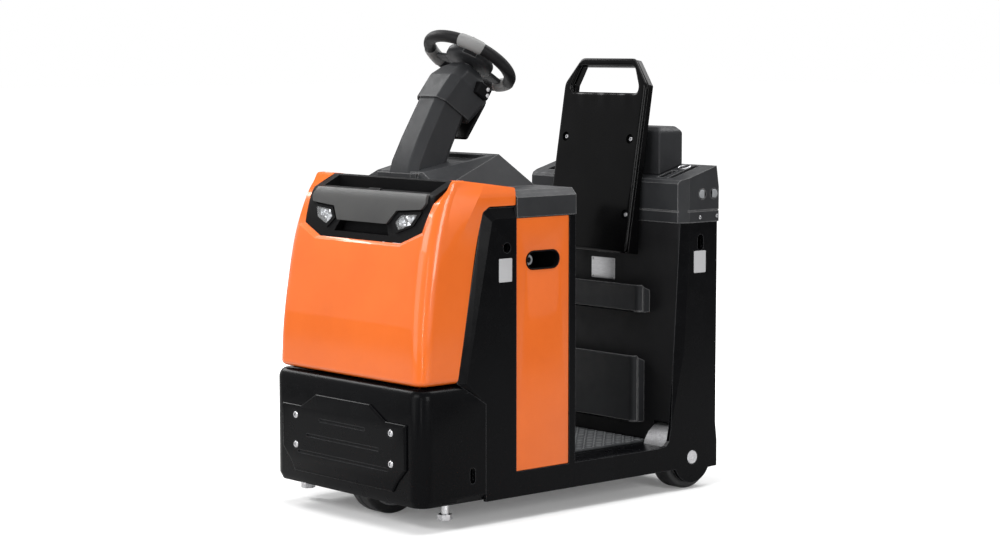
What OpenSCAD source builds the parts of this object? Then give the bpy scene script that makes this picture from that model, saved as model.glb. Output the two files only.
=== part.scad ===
// Stand-on electric tow tractor on three wheels, in millimetres.
// Front is -Y, the vehicle's left is +X, +Z is up, and the floor is at z = 0.

/* [Overall] */
// Width over the side plates
body_w = 700; // [680:10:760]
// Bumper face to the front edge of the standing space
nose_l = 595; // [580:5:640]
// Standing space, from its front edge to the rear wall
step_l = 443; // [420:5:520]
// Battery box, from the rear wall to the rear face
pack_l = 166; // [164:2:220]
// Tow jaw behind the rear face
jaw_l = 90; // [84:2:120]
// Underside of the frame
clear_z = 69; // [60:1:76]
// Height of the standing platform
step_z = 143; // [138:1:160]
// Top of the side plates beside the nose
nose_z = 883; // [860:1:900]
// Top of the rear side plates
rear_z = 832; // [800:1:850]
// Top of the dash deck
deck_z = 961; // [945:1:975]
// Top of the hood
hood_z = 996; // [985:1:1010]
// Top of the bumper and lower edge of the hood
bumper_z = 420; // [400:1:440]

/* [Frame] */
// Thickness of the side plates
plate_t = 12; // [8:1:16]
// Thickness of sheet walls
sheet_t = 6; // [4:1:8]
// Depth of the bevel along the edges of the side plates
bevel_d = 28; // [15:1:34]
// Wall of the cast bumper
bumper_t = 14; // [10:1:18]
// Corner radius of the bumper in plan
bumper_r = 48; // [40:1:60]
// Thickness of the plate on the bumper
face_t = 8; // [5:1:12]
// Radius of the lifting hole in each side plate
lift_r = 14.5; // [10:0.5:18]

/* [Covers] */
// Wall of the hood
hood_t = 6; // [4:1:8]
// Wall of the front fascia
fascia_t = 16; // [12:1:20]
// Width of each orange side panel
panel_w = 208; // [180:2:220]
// Width of the backrest
back_w = 372; // [340:2:400]
// Height of the backrest along its slope
back_h = 613; // [580:1:640]
// Lean of the backrest to the rear
back_lean = 9.5; // [5:0.5:12]
// Thickness of the backrest pad
pad_t = 18; // [14:1:20]
// Thickness of the backrest shell
shell_t = 22; // [18:1:24]

/* [Steering] */
// Lean of the steering wheel's axis to the rear
wheel_lean = 34; // [30:1:40]
// Centre line radius of the steering wheel's rim
rim_r = 133; // [125:1:145]
// Radius of the rim's tube
tube_r = 16; // [13:0.5:17]
// Height of the steering wheel's centre
rim_z = 1330; // [1320:1:1360]

/* [Wheels] */
// Radius of the drive wheel
drive_r = 115; // [105:1:118]
// Width of the drive wheel
drive_w = 75; // [60:1:80]
// Radius of the rear wheels
rear_r = 100; // [90:1:105]
// Width of the rear wheels
rear_w = 64; // [50:1:66]
// Radius of the rear axle pins
pin_r = 12; // [9:1:14]

/* [Towing] */
// Radius of the coupling hole in the tow jaw
hitch_r = 13.5; // [10:0.5:16]
// Thickness of each tongue of the tow jaw
tongue_t = 14; // [10:1:18]
// Spacing of the tongues
tongue_gap = 55; // [50:1:60]

/* [Hidden] */
$fn = 64;
half = body_w / 2;
inner = half - plate_t;
y_front = -(face_t + nose_l + step_l + pack_l + jaw_l) / 2;
y_bumper = y_front + face_t;
y_step = y_bumper + nose_l;
y_wall = y_step + step_l;
y_rear = y_wall + pack_l;
y_end = y_rear + jaw_l;
// Side panel's opening and the seam between bumper and side plate
panel_y1 = y_step - 25;
panel_y0 = panel_y1 - panel_w;
seam_y = y_bumper + 245;
seam_z = step_z + 211;
// Rear axle
axle_y = y_wall + 58;
axle_z = rear_r;
rear_x1 = inner - 8;
rear_x0 = rear_x1 - rear_w;
cheek_x = rear_x0 - 30;
arch_r = rear_r + 6;
arch_t = 4;
arch_z = step_z + 66;
// Drive unit
drive_y = y_bumper + 159;
// Foot bolts, and the hood's step back from the bumper's edge
foot_y = y_bumper + 111;
nose_in = 8;
bridge_z = 2 * drive_r + 37;
bridge_t = 16;
neck_r = 92;
leg_x = drive_w / 2 + 9;
// Steering wheel
rim_y = y_step - 111;
head_gap = 72;
head_y = rim_y - head_gap * sin(wheel_lean);
head_z = rim_z - head_gap * cos(wheel_lean);
// Colours
orange = [0.95, 0.36, 0.08];
slate = [0.30, 0.31, 0.33];
black = [0.07, 0.07, 0.08];
grey = [0.45, 0.46, 0.48];
steel = [0.66, 0.67, 0.69];
rubber = [0.12, 0.12, 0.13];
white = [0.86, 0.86, 0.84];

// A flat outline in (y, z), extruded along X from x0 by w
module along_x(x0, w) {
  translate([x0, 0, 0])
    rotate([90, 0, 90])
      linear_extrude(w)
        children();
}

// A flat outline in (x, z), extruded along Y from y0 by l
module along_y(y0, l) {
  translate([0, y0 + l, 0])
    rotate([90, 0, 0])
      linear_extrude(l)
        children();
}

// A solid mirrored to the side s
module on_side(s) {
  if (s > 0) children();
  else mirror([1, 0, 0]) children();
}

// A round-ended slot, tall along the second axis
module slot(w, h) {
  square([w, h - w], center = true);
  for (k = [-1, 1])
    translate([0, k * (h - w) / 2])
      circle(w / 2);
}

// Side plates

// Outline of the plate's lower run, sill and rear foot
module sill_outline() {
  foot_r = 80;
  polygon([
    [seam_y, clear_z], [seam_y, seam_z], [panel_y0, seam_z], [panel_y0, step_z],
    [panel_y1, step_z], [panel_y1, nose_z],
    [y_step, nose_z], [y_step, step_z], [y_wall - 86, step_z], [y_wall - 60, step_z + 4],
    [y_wall - 46, step_z + 18], [y_wall - 38, step_z + 57], [y_rear - 7, step_z + 57],
    [y_rear, step_z], [y_rear, clear_z - 7], [axle_y + 62, clear_z - 9],
    [axle_y + 30, clear_z - 9], [axle_y - 78, clear_z]]);
  translate([axle_y, axle_z])
    circle(foot_r);
}

// A bevelled slab between an outline on the outer face and one on the inner face
module bevelled(outer_pts, inner_pts) {
  skin = 0.5;
  hull() {
    along_x(half - skin, skin)
      polygon(outer_pts);
    along_x(inner, skin)
      polygon(inner_pts);
  }
}

module side_plate() {
  nose_lo = y_bumper + 173;
  nose_hi = y_bumper + 268;
  bevel_top = nose_z + 32;
  knee_z = step_z + 297;
  pillar_d = bevel_d + 8;
  heel_z = step_z + 57;
  difference() {
    union() {
      along_x(inner, plate_t)
        sill_outline();
      bevelled(
        [[seam_y, seam_z], [nose_lo, bumper_z], [nose_hi, nose_z - 8], [nose_hi + 14, nose_z],
          [panel_y0, nose_z], [panel_y0, seam_z]],
        [[seam_y, seam_z], [nose_lo - bevel_d, bumper_z], [nose_hi - bevel_d, nose_z + 20],
          [nose_hi - 6, bevel_top], [panel_y0, bevel_top], [panel_y0, seam_z]]);
      bevelled(
        [[y_wall + 18, knee_z], [y_wall + 42, rear_z], [y_rear - 7, rear_z], [y_rear - 7, knee_z]],
        [[y_wall + 18 - pillar_d, knee_z], [y_wall + 42 - pillar_d, rear_z], [y_rear - 7, rear_z],
          [y_rear - 7, knee_z]]);
      bevelled(
        [[y_wall - 38, heel_z], [y_wall + 18, knee_z], [y_rear - 7, knee_z], [y_rear - 7, heel_z]],
        [[y_wall - 38, heel_z], [y_wall + 18 - pillar_d, knee_z], [y_rear - 7, knee_z],
          [y_rear - 7, heel_z]]);
    }
    along_x(inner - 1, plate_t + 2) {
      translate([y_bumper + 325, nose_z - 85])
        circle(lift_r);
      translate([y_wall + 86, rear_z - 62])
        slot(26, 49);
    }
    along_x(inner - 1, plate_t + 2)
      translate([axle_y, axle_z])
        circle(pin_r + 0.2);
    along_x(half - 7, 8)
      translate([axle_y, axle_z])
        circle(pin_r + 11);
  }
}

module side_plate_left() {
  color(slate) side_plate();
}

module side_plate_right() {
  color(slate) on_side(-1) side_plate();
}

module side_panel() {
  gap = 0.4;
  slot_z = nose_z - 127;
  slot_w = 132;
  slot_h = 56;
  difference() {
    along_x(inner, plate_t - 2)
      polygon([[panel_y0 + gap, step_z + gap], [panel_y1 - gap, step_z + gap],
        [panel_y1 - gap, nose_z - 2], [panel_y0 + gap, nose_z - 2]]);
    along_x(inner - 1, plate_t)
      translate([(panel_y0 + panel_y1) / 2, slot_z])
        rotate([0, 0, 90])
          slot(slot_h, slot_w);
  }
}

module side_panel_left() {
  color(orange) side_panel();
}

module side_panel_right() {
  color(orange) on_side(-1) side_panel();
}

// Bumper

// Section of the bumper's wall: distance outward from its face, and height
module bumper_profile(offset_x) {
  chamfer = 28;
  set_in = nose_in;
  lip = 40;
  polygon([for (p = [[-10, clear_z + 6], [0, clear_z + 26], [0, bumper_z - chamfer],
    [-set_in, bumper_z], [-lip, bumper_z], [-lip, bumper_z - 12],
    [-set_in - 12, bumper_z - 12], [-bumper_t, bumper_z - chamfer - 6],
    [-bumper_t, clear_z + 6]]) [p[0] + offset_x, p[1]]]);
}

module front_bumper() {
  run = seam_y - y_bumper - bumper_r;
  color(slate)
    difference() {
      union() {
        translate([0, y_bumper, 0])
          rotate([90, 0, -90])
            linear_extrude(body_w - 2 * bumper_r, center = true)
              bumper_profile(0);
        for (s = [1, -1]) {
          translate([s * (half - bumper_r), y_bumper + bumper_r, 0])
            rotate([0, 0, s > 0 ? -90 : 180])
              rotate_extrude(angle = 90)
                bumper_profile(bumper_r);
          translate([s * half, s > 0 ? seam_y : y_bumper + bumper_r, 0])
            rotate([90, 0, s > 0 ? 0 : 180])
              linear_extrude(run)
                bumper_profile(0);
          translate([s > 0 ? half - 70 : -half + 4, foot_y - 30, clear_z + 10])
            cube([66, 60, 12]);
        }
      }
      along_x(-half - 1, body_w + 2)
        polygon([[seam_y - 1, seam_z], [y_bumper + 170 - bevel_d, bumper_z + 1],
          [seam_y + 9, bumper_z + 1], [seam_y + 9, seam_z]]);
      along_x(-half - 1, body_w + 2)
        translate([y_bumper + 195, step_z + 8])
          slot(20, 46);
    }
}

module bumper_plate() {
  edge = half - 57;
  // Right half of the outline, from the top edge down
  rim = [[half - 222, 67], [half - 150, 108], [edge, 108], [edge, 239], [edge - 40, 279], [edge - 60, 308]];
  // Ribs pressed into the plate: depth below the bumper's top, half length
  rows = [[142, half - 242], [193, half - 178], [246, half - 135]];
  color(slate)
    difference() {
      along_y(y_front, face_t)
        polygon(concat(
          [for (p = rim) [p[0], bumper_z - p[1]]],
          [for (k = [len(rim) - 1 : -1 : 0]) [-rim[k][0], bumper_z - rim[k][1]]]));
      for (r = rows)
        along_y(y_front - 1, 4)
          translate([0, bumper_z - r[0]])
            rotate([0, 0, 90])
              slot(8, 2 * r[1]);
      for (s = [1, -1], d = [139, 228])
        along_y(y_front - 1, 5)
          translate([s * (half - 124), bumper_z - d])
            circle(13);
    }
}

// Hood and fascia

// Levels of the nose: half width, set back from the bumper face, corner radius, height, rear half width
function nose_levels() = [
  [half - nose_in, nose_in, bumper_r - nose_in, bumper_z, half - nose_in],
  [half - 9, 12, 46, bumper_z + 120, half - 9],
  [half - 13, 24, 50, bumper_z + 240, half - 12],
  [half - 18, 50, 52, hood_z - 181, half - 14],
  [half - 26, 88, 52, hood_z - 66, half - 5],
  [half - 28, 114, 46, hood_z - 26, half - 9],
  [half - 30, 132, 34, hood_z - 3, half - 18],
  [half - 36, 142, 30, hood_z, half - 24]];

// Solid nose, set in by d from its outer skin
module nose_solid(d) {
  skin = 0.5;
  hull()
    for (v = nose_levels()) {
      w = v[4] - d;
      top = v[3] - (v[3] > hood_z - 70 ? d : 0);
      translate([0, 0, top - (v[3] > bumper_z ? skin : 0)])
        linear_extrude(skin) {
          for (s = [1, -1])
            translate([s * (v[0] - v[2]), y_bumper + v[1] + v[2]])
              circle(v[2] - d, $fn = 40);
          translate([-w, panel_y0 - 12])
            square([2 * w, 12]);
        }
    }
}

// Front view of the fascia's edge, grown by g
module fascia_outline(g) {
  // Left half, from the foot up: distance in from the flank, depth below the hood's top
  rim = [[162, 181], [75, 146], [62, 66], [66, 3], [66, -20]];
  polygon(concat(
    [for (p = rim) [half - p[0] + g, hood_z - p[1] - g]],
    [for (k = [len(rim) - 1 : -1 : 0]) [rim[k][0] - half - g, hood_z - rim[k][1] - g]]));
}

// Side view of the hood's reach
module hood_reach() {
  arm_z = nose_z + 36;
  polygon([
    [y_bumper - 5, bumper_z], [y_bumper + 173 - bevel_d - 1, bumper_z],
    [y_bumper + 268 - bevel_d - 1, nose_z + 21], [y_bumper + 272, arm_z], [panel_y0 + 2, arm_z],
    [panel_y0 + 2, deck_z + 8], [y_bumper + 170, hood_z], [y_bumper - 5, hood_z]]);
}

// Side view of the hollow under the hood
module hood_open() {
  polygon([
    [y_bumper - 5, bumper_z], [panel_y0 + 40, bumper_z], [panel_y0 + 40, deck_z + 4 - hood_t],
    [y_bumper + 170, hood_z - hood_t], [y_bumper - 5, hood_z - hood_t]]);
}

fascia_y1 = y_bumper + 190;
deck_in = half - 92;

module hood() {
  color(orange)
    difference() {
      intersection() {
        nose_solid(0);
        along_x(-half, body_w)
          hood_reach();
      }
      intersection() {
        nose_solid(hood_t);
        translate([0, 0, -1])
          along_x(-half, body_w)
            hood_open();
      }
      along_y(y_bumper - 5, fascia_y1 - y_bumper + 5)
        fascia_outline(0.5);
      translate([-deck_in, fascia_y1 - 1, nose_z - 23])
        cube([2 * deck_in, panel_y0 - fascia_y1 + 20, 200]);
    }
}

// Step of the fascia behind the hood's skin
fascia_in = 12;

// Storage bin behind the fascia's upper lip
bin_x = half - 100;
bin_y0 = y_bumper + 118;
bin_y1 = y_bumper + 182;
bin_z = hood_z - 124;

// Front view of a lamp on the left, shrunk by g
module lamp_outline(g) {
  polygon([[half - 212 + g, hood_z - 124], [half - 190 + g, hood_z - 98 - g],
    [half - 100 - g, hood_z - 91 - g], [half - 122 - g, hood_z - 128 + g],
    [half - 185, hood_z - 150 + g]]);
}

module fascia() {
  color(black)
    difference() {
      intersection() {
        along_y(y_bumper - 5, fascia_y1 - y_bumper + 5)
          fascia_outline(0);
        union() {
          difference() {
            nose_solid(fascia_in);
            nose_solid(fascia_in + fascia_t);
          }
          intersection() {
            nose_solid(fascia_in);
            translate([-bin_x - 4, bin_y0 - 4, bin_z - 4])
              cube([2 * bin_x + 8, fascia_y1 - bin_y0 + 4, 200]);
          }
        }
      }
      translate([-bin_x, bin_y0, bin_z])
        cube([2 * bin_x, bin_y1 - bin_y0, 200]);
      translate([230 - half, y_bumper, hood_z - 160])
        cube([body_w - 460, 84, 22]);
      for (s = [1, -1])
        on_side(s)
          along_y(y_bumper - 5, 107)
            lamp_outline(0);
    }
}

module headlamp() {
  intersection() {
    nose_solid(fascia_in + 2);
    along_y(y_bumper - 5, 107)
      lamp_outline(0.3);
  }
}

module headlamp_left() {
  color(white) headlamp();
}

module headlamp_right() {
  color(white) on_side(-1) headlamp();
}

// Dash

// Half width of the steering column's foot
column_x = 62;

module dash_deck() {
  cap_edge = 20;
  rim = deck_z - cap_edge;
  front = fascia_y1;
  crest_y = front + 24;
  crest_z = deck_z + 48;
  apex_y = y_step - 127;
  apex_z = deck_z + 95;
  pitch = atan((apex_z - crest_z) / (apex_y - crest_y));
  socket_x = column_x + 26;
  crest_x = column_x + 43;
  notch_x = column_x + 58;
  color(black)
    difference() {
      union() {
        difference() {
          along_y(panel_y0 + 2, y_step - panel_y0)
            polygon([[-half, nose_z], [half, nose_z], [half, rim], [half - cap_edge, deck_z],
              [cap_edge - half, deck_z], [-half, rim]]);
          translate([-inner, panel_y0 + 10, nose_z - 1])
            cube([2 * inner, y_step - panel_y0 - 16, deck_z - nose_z - 9]);
        }
        translate([-deck_in + 0.5, front, deck_z - 20])
          cube([2 * deck_in - 1, panel_y0 + 3 - front, 26]);
        hull() {
          translate([150 - half, front + 10, deck_z])
            cube([body_w - 300, y_step - 27 - front - 10, 1]);
          translate([-crest_x, crest_y, crest_z - 1])
            cube([2 * crest_x, 1, 1]);
          translate([200 - half, apex_y, apex_z - 1])
            cube([body_w - 400, 1, 1]);
        }
        translate([0, 0, deck_z])
          linear_extrude(44)
            polygon([[12 - socket_x, front], [socket_x - 12, front], [socket_x, front + 12],
              [socket_x, front + 80], [-socket_x, front + 80], [-socket_x, front + 12]]);
      }
      translate([-notch_x, apex_y, apex_z])
        rotate([pitch, 0, 0])
          translate([0, -110, -14])
            cube([2 * notch_x, 92, 40]);
    }
}

// A chamfered cross section of the steering column, flat in its own plane, from -t0 to t1 in depth
module column_section(y, z, lean, w, t0, t1, c) {
  translate([0, y, z])
    rotate([-lean, 0, 0])
      linear_extrude(1)
        polygon([[-w + c, -t0], [w - c, -t0], [w, -t0 + c], [w, t1 - c], [w - c, t1], [c - w, t1],
          [-w, t1 - c], [-w, c - t0]]);
}

joint_y = y_step - 226;
joint_z = deck_z + 228;
joint_lean = 34;

module column_lower() {
  color(black)
    difference() {
      hull() {
        column_section(y_step - 334, deck_z + 10, 0, column_x, 62, 70, 18);
        translate([0, -sin(joint_lean), -cos(joint_lean)])
          column_section(joint_y, joint_z, joint_lean, column_x - 4, 60, 64, 20);
      }
      dash_deck();
    }
}

module column_head() {
  pod_x = 66;
  color(black) {
    hull() {
      column_section(joint_y, joint_z, joint_lean, 64, 64, 82, 18);
      translate([0, -26 * sin(wheel_lean), -26 * cos(wheel_lean)])
        column_section(head_y, head_z, wheel_lean, 70, 72, 92, 20);
      translate([0, -sin(wheel_lean), -cos(wheel_lean)])
        column_section(head_y, head_z, wheel_lean, 52, 46, 66, 20);
    }
    translate([0, head_y, head_z])
      rotate([-wheel_lean, 0, 0]) {
        translate([0, 0, -8])
          cylinder(r = 12, h = head_gap - 14);
        translate([pod_x - 12, 12, -70])
          cube([30, 56, 38]);
      }
  }
}

// Standing space

module floor_pan() {
  pan_t = 8;
  front = y_bumper + 330;
  notch_y = axle_y - arch_r - arch_t - 2;
  color(slate) {
    difference() {
      translate([-inner, front, step_z - pan_t])
        cube([2 * inner, y_wall - front, pan_t]);
      for (s = [1, -1])
        translate([s > 0 ? cheek_x - 0.5 : -half, notch_y, step_z - 20])
          cube([half - cheek_x + 0.5, y_wall - notch_y + 1, 40]);
    }
    for (y = [front + 20, y_step + 40, y_wall - 150])
      difference() {
        translate([-inner, y, clear_z + 8])
          cube([2 * inner, 70, step_z - pan_t - clear_z - 8]);
        translate([-inner - 1, y + 6, clear_z + 14])
          cube([2 * inner + 2, 58, step_z - pan_t - clear_z - 14]);
      }
  }
}

module floor_mat() {
  mat_t = 5;
  color(grey)
    translate([8 - cheek_x, y_step + 30, step_z])
      cube([2 * cheek_x - 16, step_l - 44, mat_t]);
}

module front_bulkhead() {
  color(slate)
    translate([-inner, y_step - sheet_t, step_z])
      cube([2 * inner, sheet_t, nose_z - step_z]);
}

// Wall outline in (x, z) with open corners for the wheels
module wall_outline(low) {
  polygon([[-inner, rear_z], [-inner, arch_z], [-cheek_x, arch_z], [-cheek_x, low], [cheek_x, low],
    [cheek_x, arch_z], [inner, arch_z], [inner, rear_z]]);
}

module rear_wall() {
  low = clear_z + 20;
  color(black) {
    along_y(y_wall, sheet_t)
      wall_outline(low);
    translate([-cheek_x, y_wall, low])
      cube([2 * cheek_x, pack_l - sheet_t, 8]);
  }
}

module rear_pockets() {
  wall = 4;
  depth = 40;
  // Bottom, lip and half width
  rows = [[step_z + 57, step_z + 267, half - 160], [rear_z - 284, rear_z - 198, half - 138]];
  color(black)
    for (r = rows)
      difference() {
        translate([-r[2], y_wall - depth, r[0]])
          cube([2 * r[2], depth, r[1] - r[0]]);
        translate([-r[2] + wall, y_wall - depth + wall, r[0] + wall])
          cube([2 * (r[2] - wall), depth - wall + 1, r[1] - r[0]]);
      }
}

module nameplate() {
  color(steel)
    translate([-46, y_wall - 2, rear_z - 194])
      cube([106, 2, 68]);
}

// Rear

cover_x = half;
cover_z0 = deck_z;
cover_z1 = deck_z + 47;

// Inching buttons in the cover's flanks, and the cup in its deck
inch_ys = [y_wall + 92, y_wall + 144];
inch_z = deck_z - 42;
inch_r = 16;
cup_r = 18;

function cover_top(y) = cover_z0 + (cover_z1 - cover_z0) * (y - y_wall) / pack_l;

module rear_cover() {
  corner_x = 6;
  corner_y = 36;
  color(black)
    difference() {
      along_x(-cover_x, 2 * cover_x)
        polygon([[y_wall, rear_z], [y_wall, cover_z0 - 8], [y_wall + 8, cover_top(y_wall + 8)],
          [y_rear, cover_z1], [y_rear, rear_z]]);
      translate([-inner + 4, y_wall + sheet_t, rear_z - 1])
        cube([2 * inner - 8, pack_l - 2 * sheet_t, cover_z0 - rear_z - 69]);
      for (s = [1, -1])
        on_side(s) {
          translate([0, 0, rear_z - 1])
            linear_extrude(cover_z1)
              polygon([[cover_x + 1, y_wall - 1], [cover_x - corner_x, y_wall - 1],
                [cover_x - corner_x, y_wall], [cover_x, y_wall + corner_y],
                [cover_x + 1, y_wall + corner_y]]);
          for (y = inch_ys)
            translate([cover_x - 6, y, inch_z])
              rotate([0, 90, 0])
                cylinder(r = inch_r + 0.3, h = 10);
        }
      translate([46 - half, y_wall + 40, cover_z0 - 45])
        cube([84, pack_l - 70, 200]);
      translate([half - 126, y_wall + 30, cover_z0 - 16])
        cube([8, 58, 200]);
      translate([half - 86, y_wall + 30, cover_z0 - 16])
        cube([8, pack_l - 46, 200]);
      translate([half - 112, y_wall + 126, cover_z0 - 10])
        cylinder(r = cup_r, h = 100);
    }
}

module rear_box() {
  w = half - 140;
  top = deck_z + 163;
  y0 = y_wall + 44;
  y1 = y_wall + 148;
  chamfer = 16;
  // Clearance over the sloping cover, so that rounding can't make them overlap
  seat = 0.02;
  color(black)
    intersection() {
      along_x(-w, 2 * w)
        polygon([[y0, cover_top(y0) + seat], [y0, top - chamfer], [y0 + chamfer, top], [y1 - chamfer, top],
          [y1, top - chamfer], [y1, cover_top(y1) + seat]]);
      along_y(y0, y1 - y0)
        polygon([[-w, deck_z], [-w, top - chamfer], [chamfer - w, top], [w - chamfer, top],
          [w, top - chamfer], [w, deck_z]]);
    }
}

module battery() {
  low = clear_z + 28;
  color(slate)
    translate([11 - cheek_x, y_wall + sheet_t + 4, low])
      cube([2 * cheek_x - 22, pack_l - 2 * sheet_t - 8, rear_z - 40 - low]);
}

module rear_panel() {
  color(slate)
    along_y(y_rear - sheet_t, sheet_t)
      wall_outline(clear_z + 20);
}

module tow_jaw() {
  low = step_z + 65;
  base_t = 12;
  tongue_w = 45;
  hole_y = y_end - tongue_w;
  color(slate) {
    translate([-80, y_rear, low - 20])
      cube([160, base_t, 2 * tongue_gap + tongue_t + 40]);
    for (k = [0, 1, 2])
      translate([0, 0, low + k * tongue_gap])
        linear_extrude(tongue_t)
          difference() {
            union() {
              translate([-tongue_w, y_rear + base_t - 1])
                square([2 * tongue_w, hole_y - y_rear - base_t + 1]);
              translate([0, hole_y])
                circle(tongue_w);
            }
            translate([0, hole_y])
              circle(hitch_r);
          }
  }
}

// Backrest, drawn flat with its foot at the origin and its face at z = 0
module on_back(z0, t) {
  translate([0, y_wall - 82, rear_z - 99])
    rotate([90 - back_lean, 0, 0])
      translate([0, 0, -z0 - t])
        linear_extrude(t)
          children();
}

module back_outline(g) {
  w = back_w / 2 - g;
  polygon([[-w, g], [w, g], [w, back_h - 83], [w - 65, back_h - g], [65 - w, back_h - g],
    [-w, back_h - 83]]);
}

module grip_outline() {
  w = back_w / 2 - 36;
  top = w - 27;
  polygon([[-w, back_h - 109], [w, back_h - 109], [w, back_h - 88], [top, back_h - 27],
    [-top, back_h - 27], [-w, back_h - 88]]);
}

module backrest_pad() {
  color(black)
    difference() {
      on_back(0, pad_t)
        difference() {
          back_outline(0);
          grip_outline();
        }
      for (s = [1, -1], v = [[165, 122], [146, 358]])
        on_back(-1, 9)
          translate([s * (v[0] - 186 + back_w / 2), v[1]])
            circle(15);
    }
}

module backrest_shell() {
  foot_t = 24;
  foot_h = 200;
  color(black) {
    translate([0, y_wall - 82, rear_z - 99])
      rotate([90 - back_lean, 0, 0])
        along_x(4 - back_w / 2, back_w - 8)
          polygon([[4, -pad_t - 1], [4, -pad_t - shell_t - foot_t], [foot_h, -pad_t - shell_t],
            [foot_h, -pad_t - 1]]);
    on_back(pad_t, shell_t)
      difference() {
        back_outline(4);
        grip_outline();
      }
    intersection() {
      on_back(pad_t + shell_t, 60)
        for (s = [1, -1])
          translate([s * 100 - 22, 30])
            square([44, 50]);
      translate([-half, y_wall - 200, 0])
        cube([body_w, 200, 2000]);
    }
  }
}

module inch_buttons() {
  for (y = inch_ys)
    translate([cover_x - 6, y, inch_z])
      rotate([0, 90, 0])
        cylinder(r = inch_r, h = 6);
}

module inch_buttons_left() {
  color(grey) inch_buttons();
}

module inch_buttons_right() {
  color(grey) on_side(-1) inch_buttons();
}

// Foot bolts under the bumper's corners
module jack_bolt() {
  head_h = 17;
  low = 32;
  translate([half - 25, foot_y, low]) {
    cylinder(r = 22, h = head_h, $fn = 6);
    cylinder(r = 11, h = clear_z + 10 - low);
  }
}

module jack_bolt_left() {
  color(steel) jack_bolt();
}

module jack_bolt_right() {
  color(steel) on_side(-1) jack_bolt();
}

// Rear wheels

// A turned part about an axis along X through (y, z)
module turned(x0, y, z) {
  translate([x0, y, z])
    rotate([0, 90, 0])
      rotate_extrude()
        children();
}

module rear_axle() {
  turned(0, axle_y, axle_z)
    polygon([[0, cheek_x], [pin_r, cheek_x], [pin_r, half - 7], [pin_r + 10, half - 7],
      [pin_r + 10, half - 2], [pin_r + 8, half], [0, half]]);
}

module rear_axle_left() {
  color(steel) rear_axle();
}

module rear_axle_right() {
  color(steel) on_side(-1) rear_axle();
}

module wheel_box() {
  low = step_z - 8;
  cheek_t = 8;
  outer_r = arch_r + arch_t;
  intersection() {
    along_x(cheek_x + cheek_t, inner - cheek_x - cheek_t)
      translate([axle_y, axle_z])
        difference() {
          circle(outer_r);
          circle(arch_r);
        }
    translate([0, axle_y - 200, low])
      cube([half, y_rear - axle_y + 200, 200]);
  }
  along_x(cheek_x, cheek_t)
    difference() {
      intersection() {
        union() {
          translate([axle_y, axle_z])
            circle(outer_r);
          translate([axle_y - 70, clear_z - 8])
            square([140, axle_z]);
        }
        translate([axle_y - 200, clear_z - 8])
          square([y_rear - axle_y + 200, 300]);
      }
      translate([axle_y, axle_z])
        circle(pin_r + 0.2);
    }
}

module wheel_box_left() {
  color(steel) wheel_box();
}

module wheel_box_right() {
  color(steel) on_side(-1) wheel_box();
}

rear_rim = rear_r - 22;

module rear_tyre() {
  edge = 8;
  turned(0, axle_y, axle_z)
    polygon([[rear_rim, rear_x0], [rear_r - edge, rear_x0], [rear_r, rear_x0 + edge],
      [rear_r, rear_x1 - edge], [rear_r - edge, rear_x1], [rear_rim, rear_x1]]);
}

module rear_hub() {
  face = 6;
  turned(0, axle_y, axle_z)
    polygon([[pin_r + 0.3, rear_x0], [34, rear_x0], [40, rear_x0 + 12], [rear_rim - 12, rear_x0 + 12],
      [rear_rim - 8, rear_x0 + 2], [rear_rim - 0.3, rear_x0 + 2], [rear_rim - 0.3, rear_x1 - 2],
      [rear_rim - 8, rear_x1 - 2], [rear_rim - 12, rear_x1 - 14], [40, rear_x1 - 14],
      [34, rear_x1 + 2 - face], [pin_r + 0.3, rear_x1 + 2 - face]]);
}

module rear_tyre_left() {
  color(rubber) rear_tyre();
}

module rear_tyre_right() {
  color(rubber) on_side(-1) rear_tyre();
}

module rear_hub_left() {
  color(steel) rear_hub();
}

module rear_hub_right() {
  color(steel) on_side(-1) rear_hub();
}

// Drive unit

module drive_bridge() {
  color(slate)
    difference() {
      translate([bumper_t - half, y_bumper + bumper_t, bridge_z])
        cube([body_w - 2 * bumper_t, 330, bridge_t]);
      for (s = [1, -1])
        translate([s * (half - bumper_r), y_bumper + bumper_r, bridge_z - 1])
          difference() {
            translate([s > 0 ? 0 : -bumper_r, -bumper_r, 0])
              cube([bumper_r, bumper_r, bridge_t + 2]);
            cylinder(r = bumper_r - bumper_t - 0.3, h = bridge_t + 2);
          }
      translate([0, drive_y, bridge_z - 1])
        cylinder(r = neck_r + 0.3, h = bridge_t + 2);
    }
}

module drive_motor() {
  color(black)
    translate([0, drive_y, 0]) {
      translate([0, 0, bridge_z - 5])
        cylinder(r = neck_r, h = bridge_t + 10);
      translate([0, 0, bridge_z + bridge_t + 5])
        cylinder(r = 84, h = 235);
    }
}

module drive_gearbox() {
  leg_w = 48;
  top = bridge_z - 5;
  color(slate)
    translate([0, drive_y, 0]) {
      translate([0, 0, top - 22])
        cylinder(r = 112, h = 22);
      along_x(leg_x, leg_w) {
        translate([0, drive_r])
          circle(64);
        translate([-64, drive_r])
          square([128, top - 22 - drive_r]);
      }
      translate([-20, 0, drive_r])
        rotate([0, 90, 0])
          cylinder(r = 22, h = leg_x + 20);
    }
}

drive_rim = drive_r - 24;

module drive_tyre() {
  edge = 8;
  w = drive_w / 2;
  color(rubber)
    turned(0, drive_y, drive_r)
      polygon([[drive_rim, -w], [drive_r - edge, -w], [drive_r, edge - w], [drive_r, w - edge],
        [drive_r - edge, w], [drive_rim, w]]);
}

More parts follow.
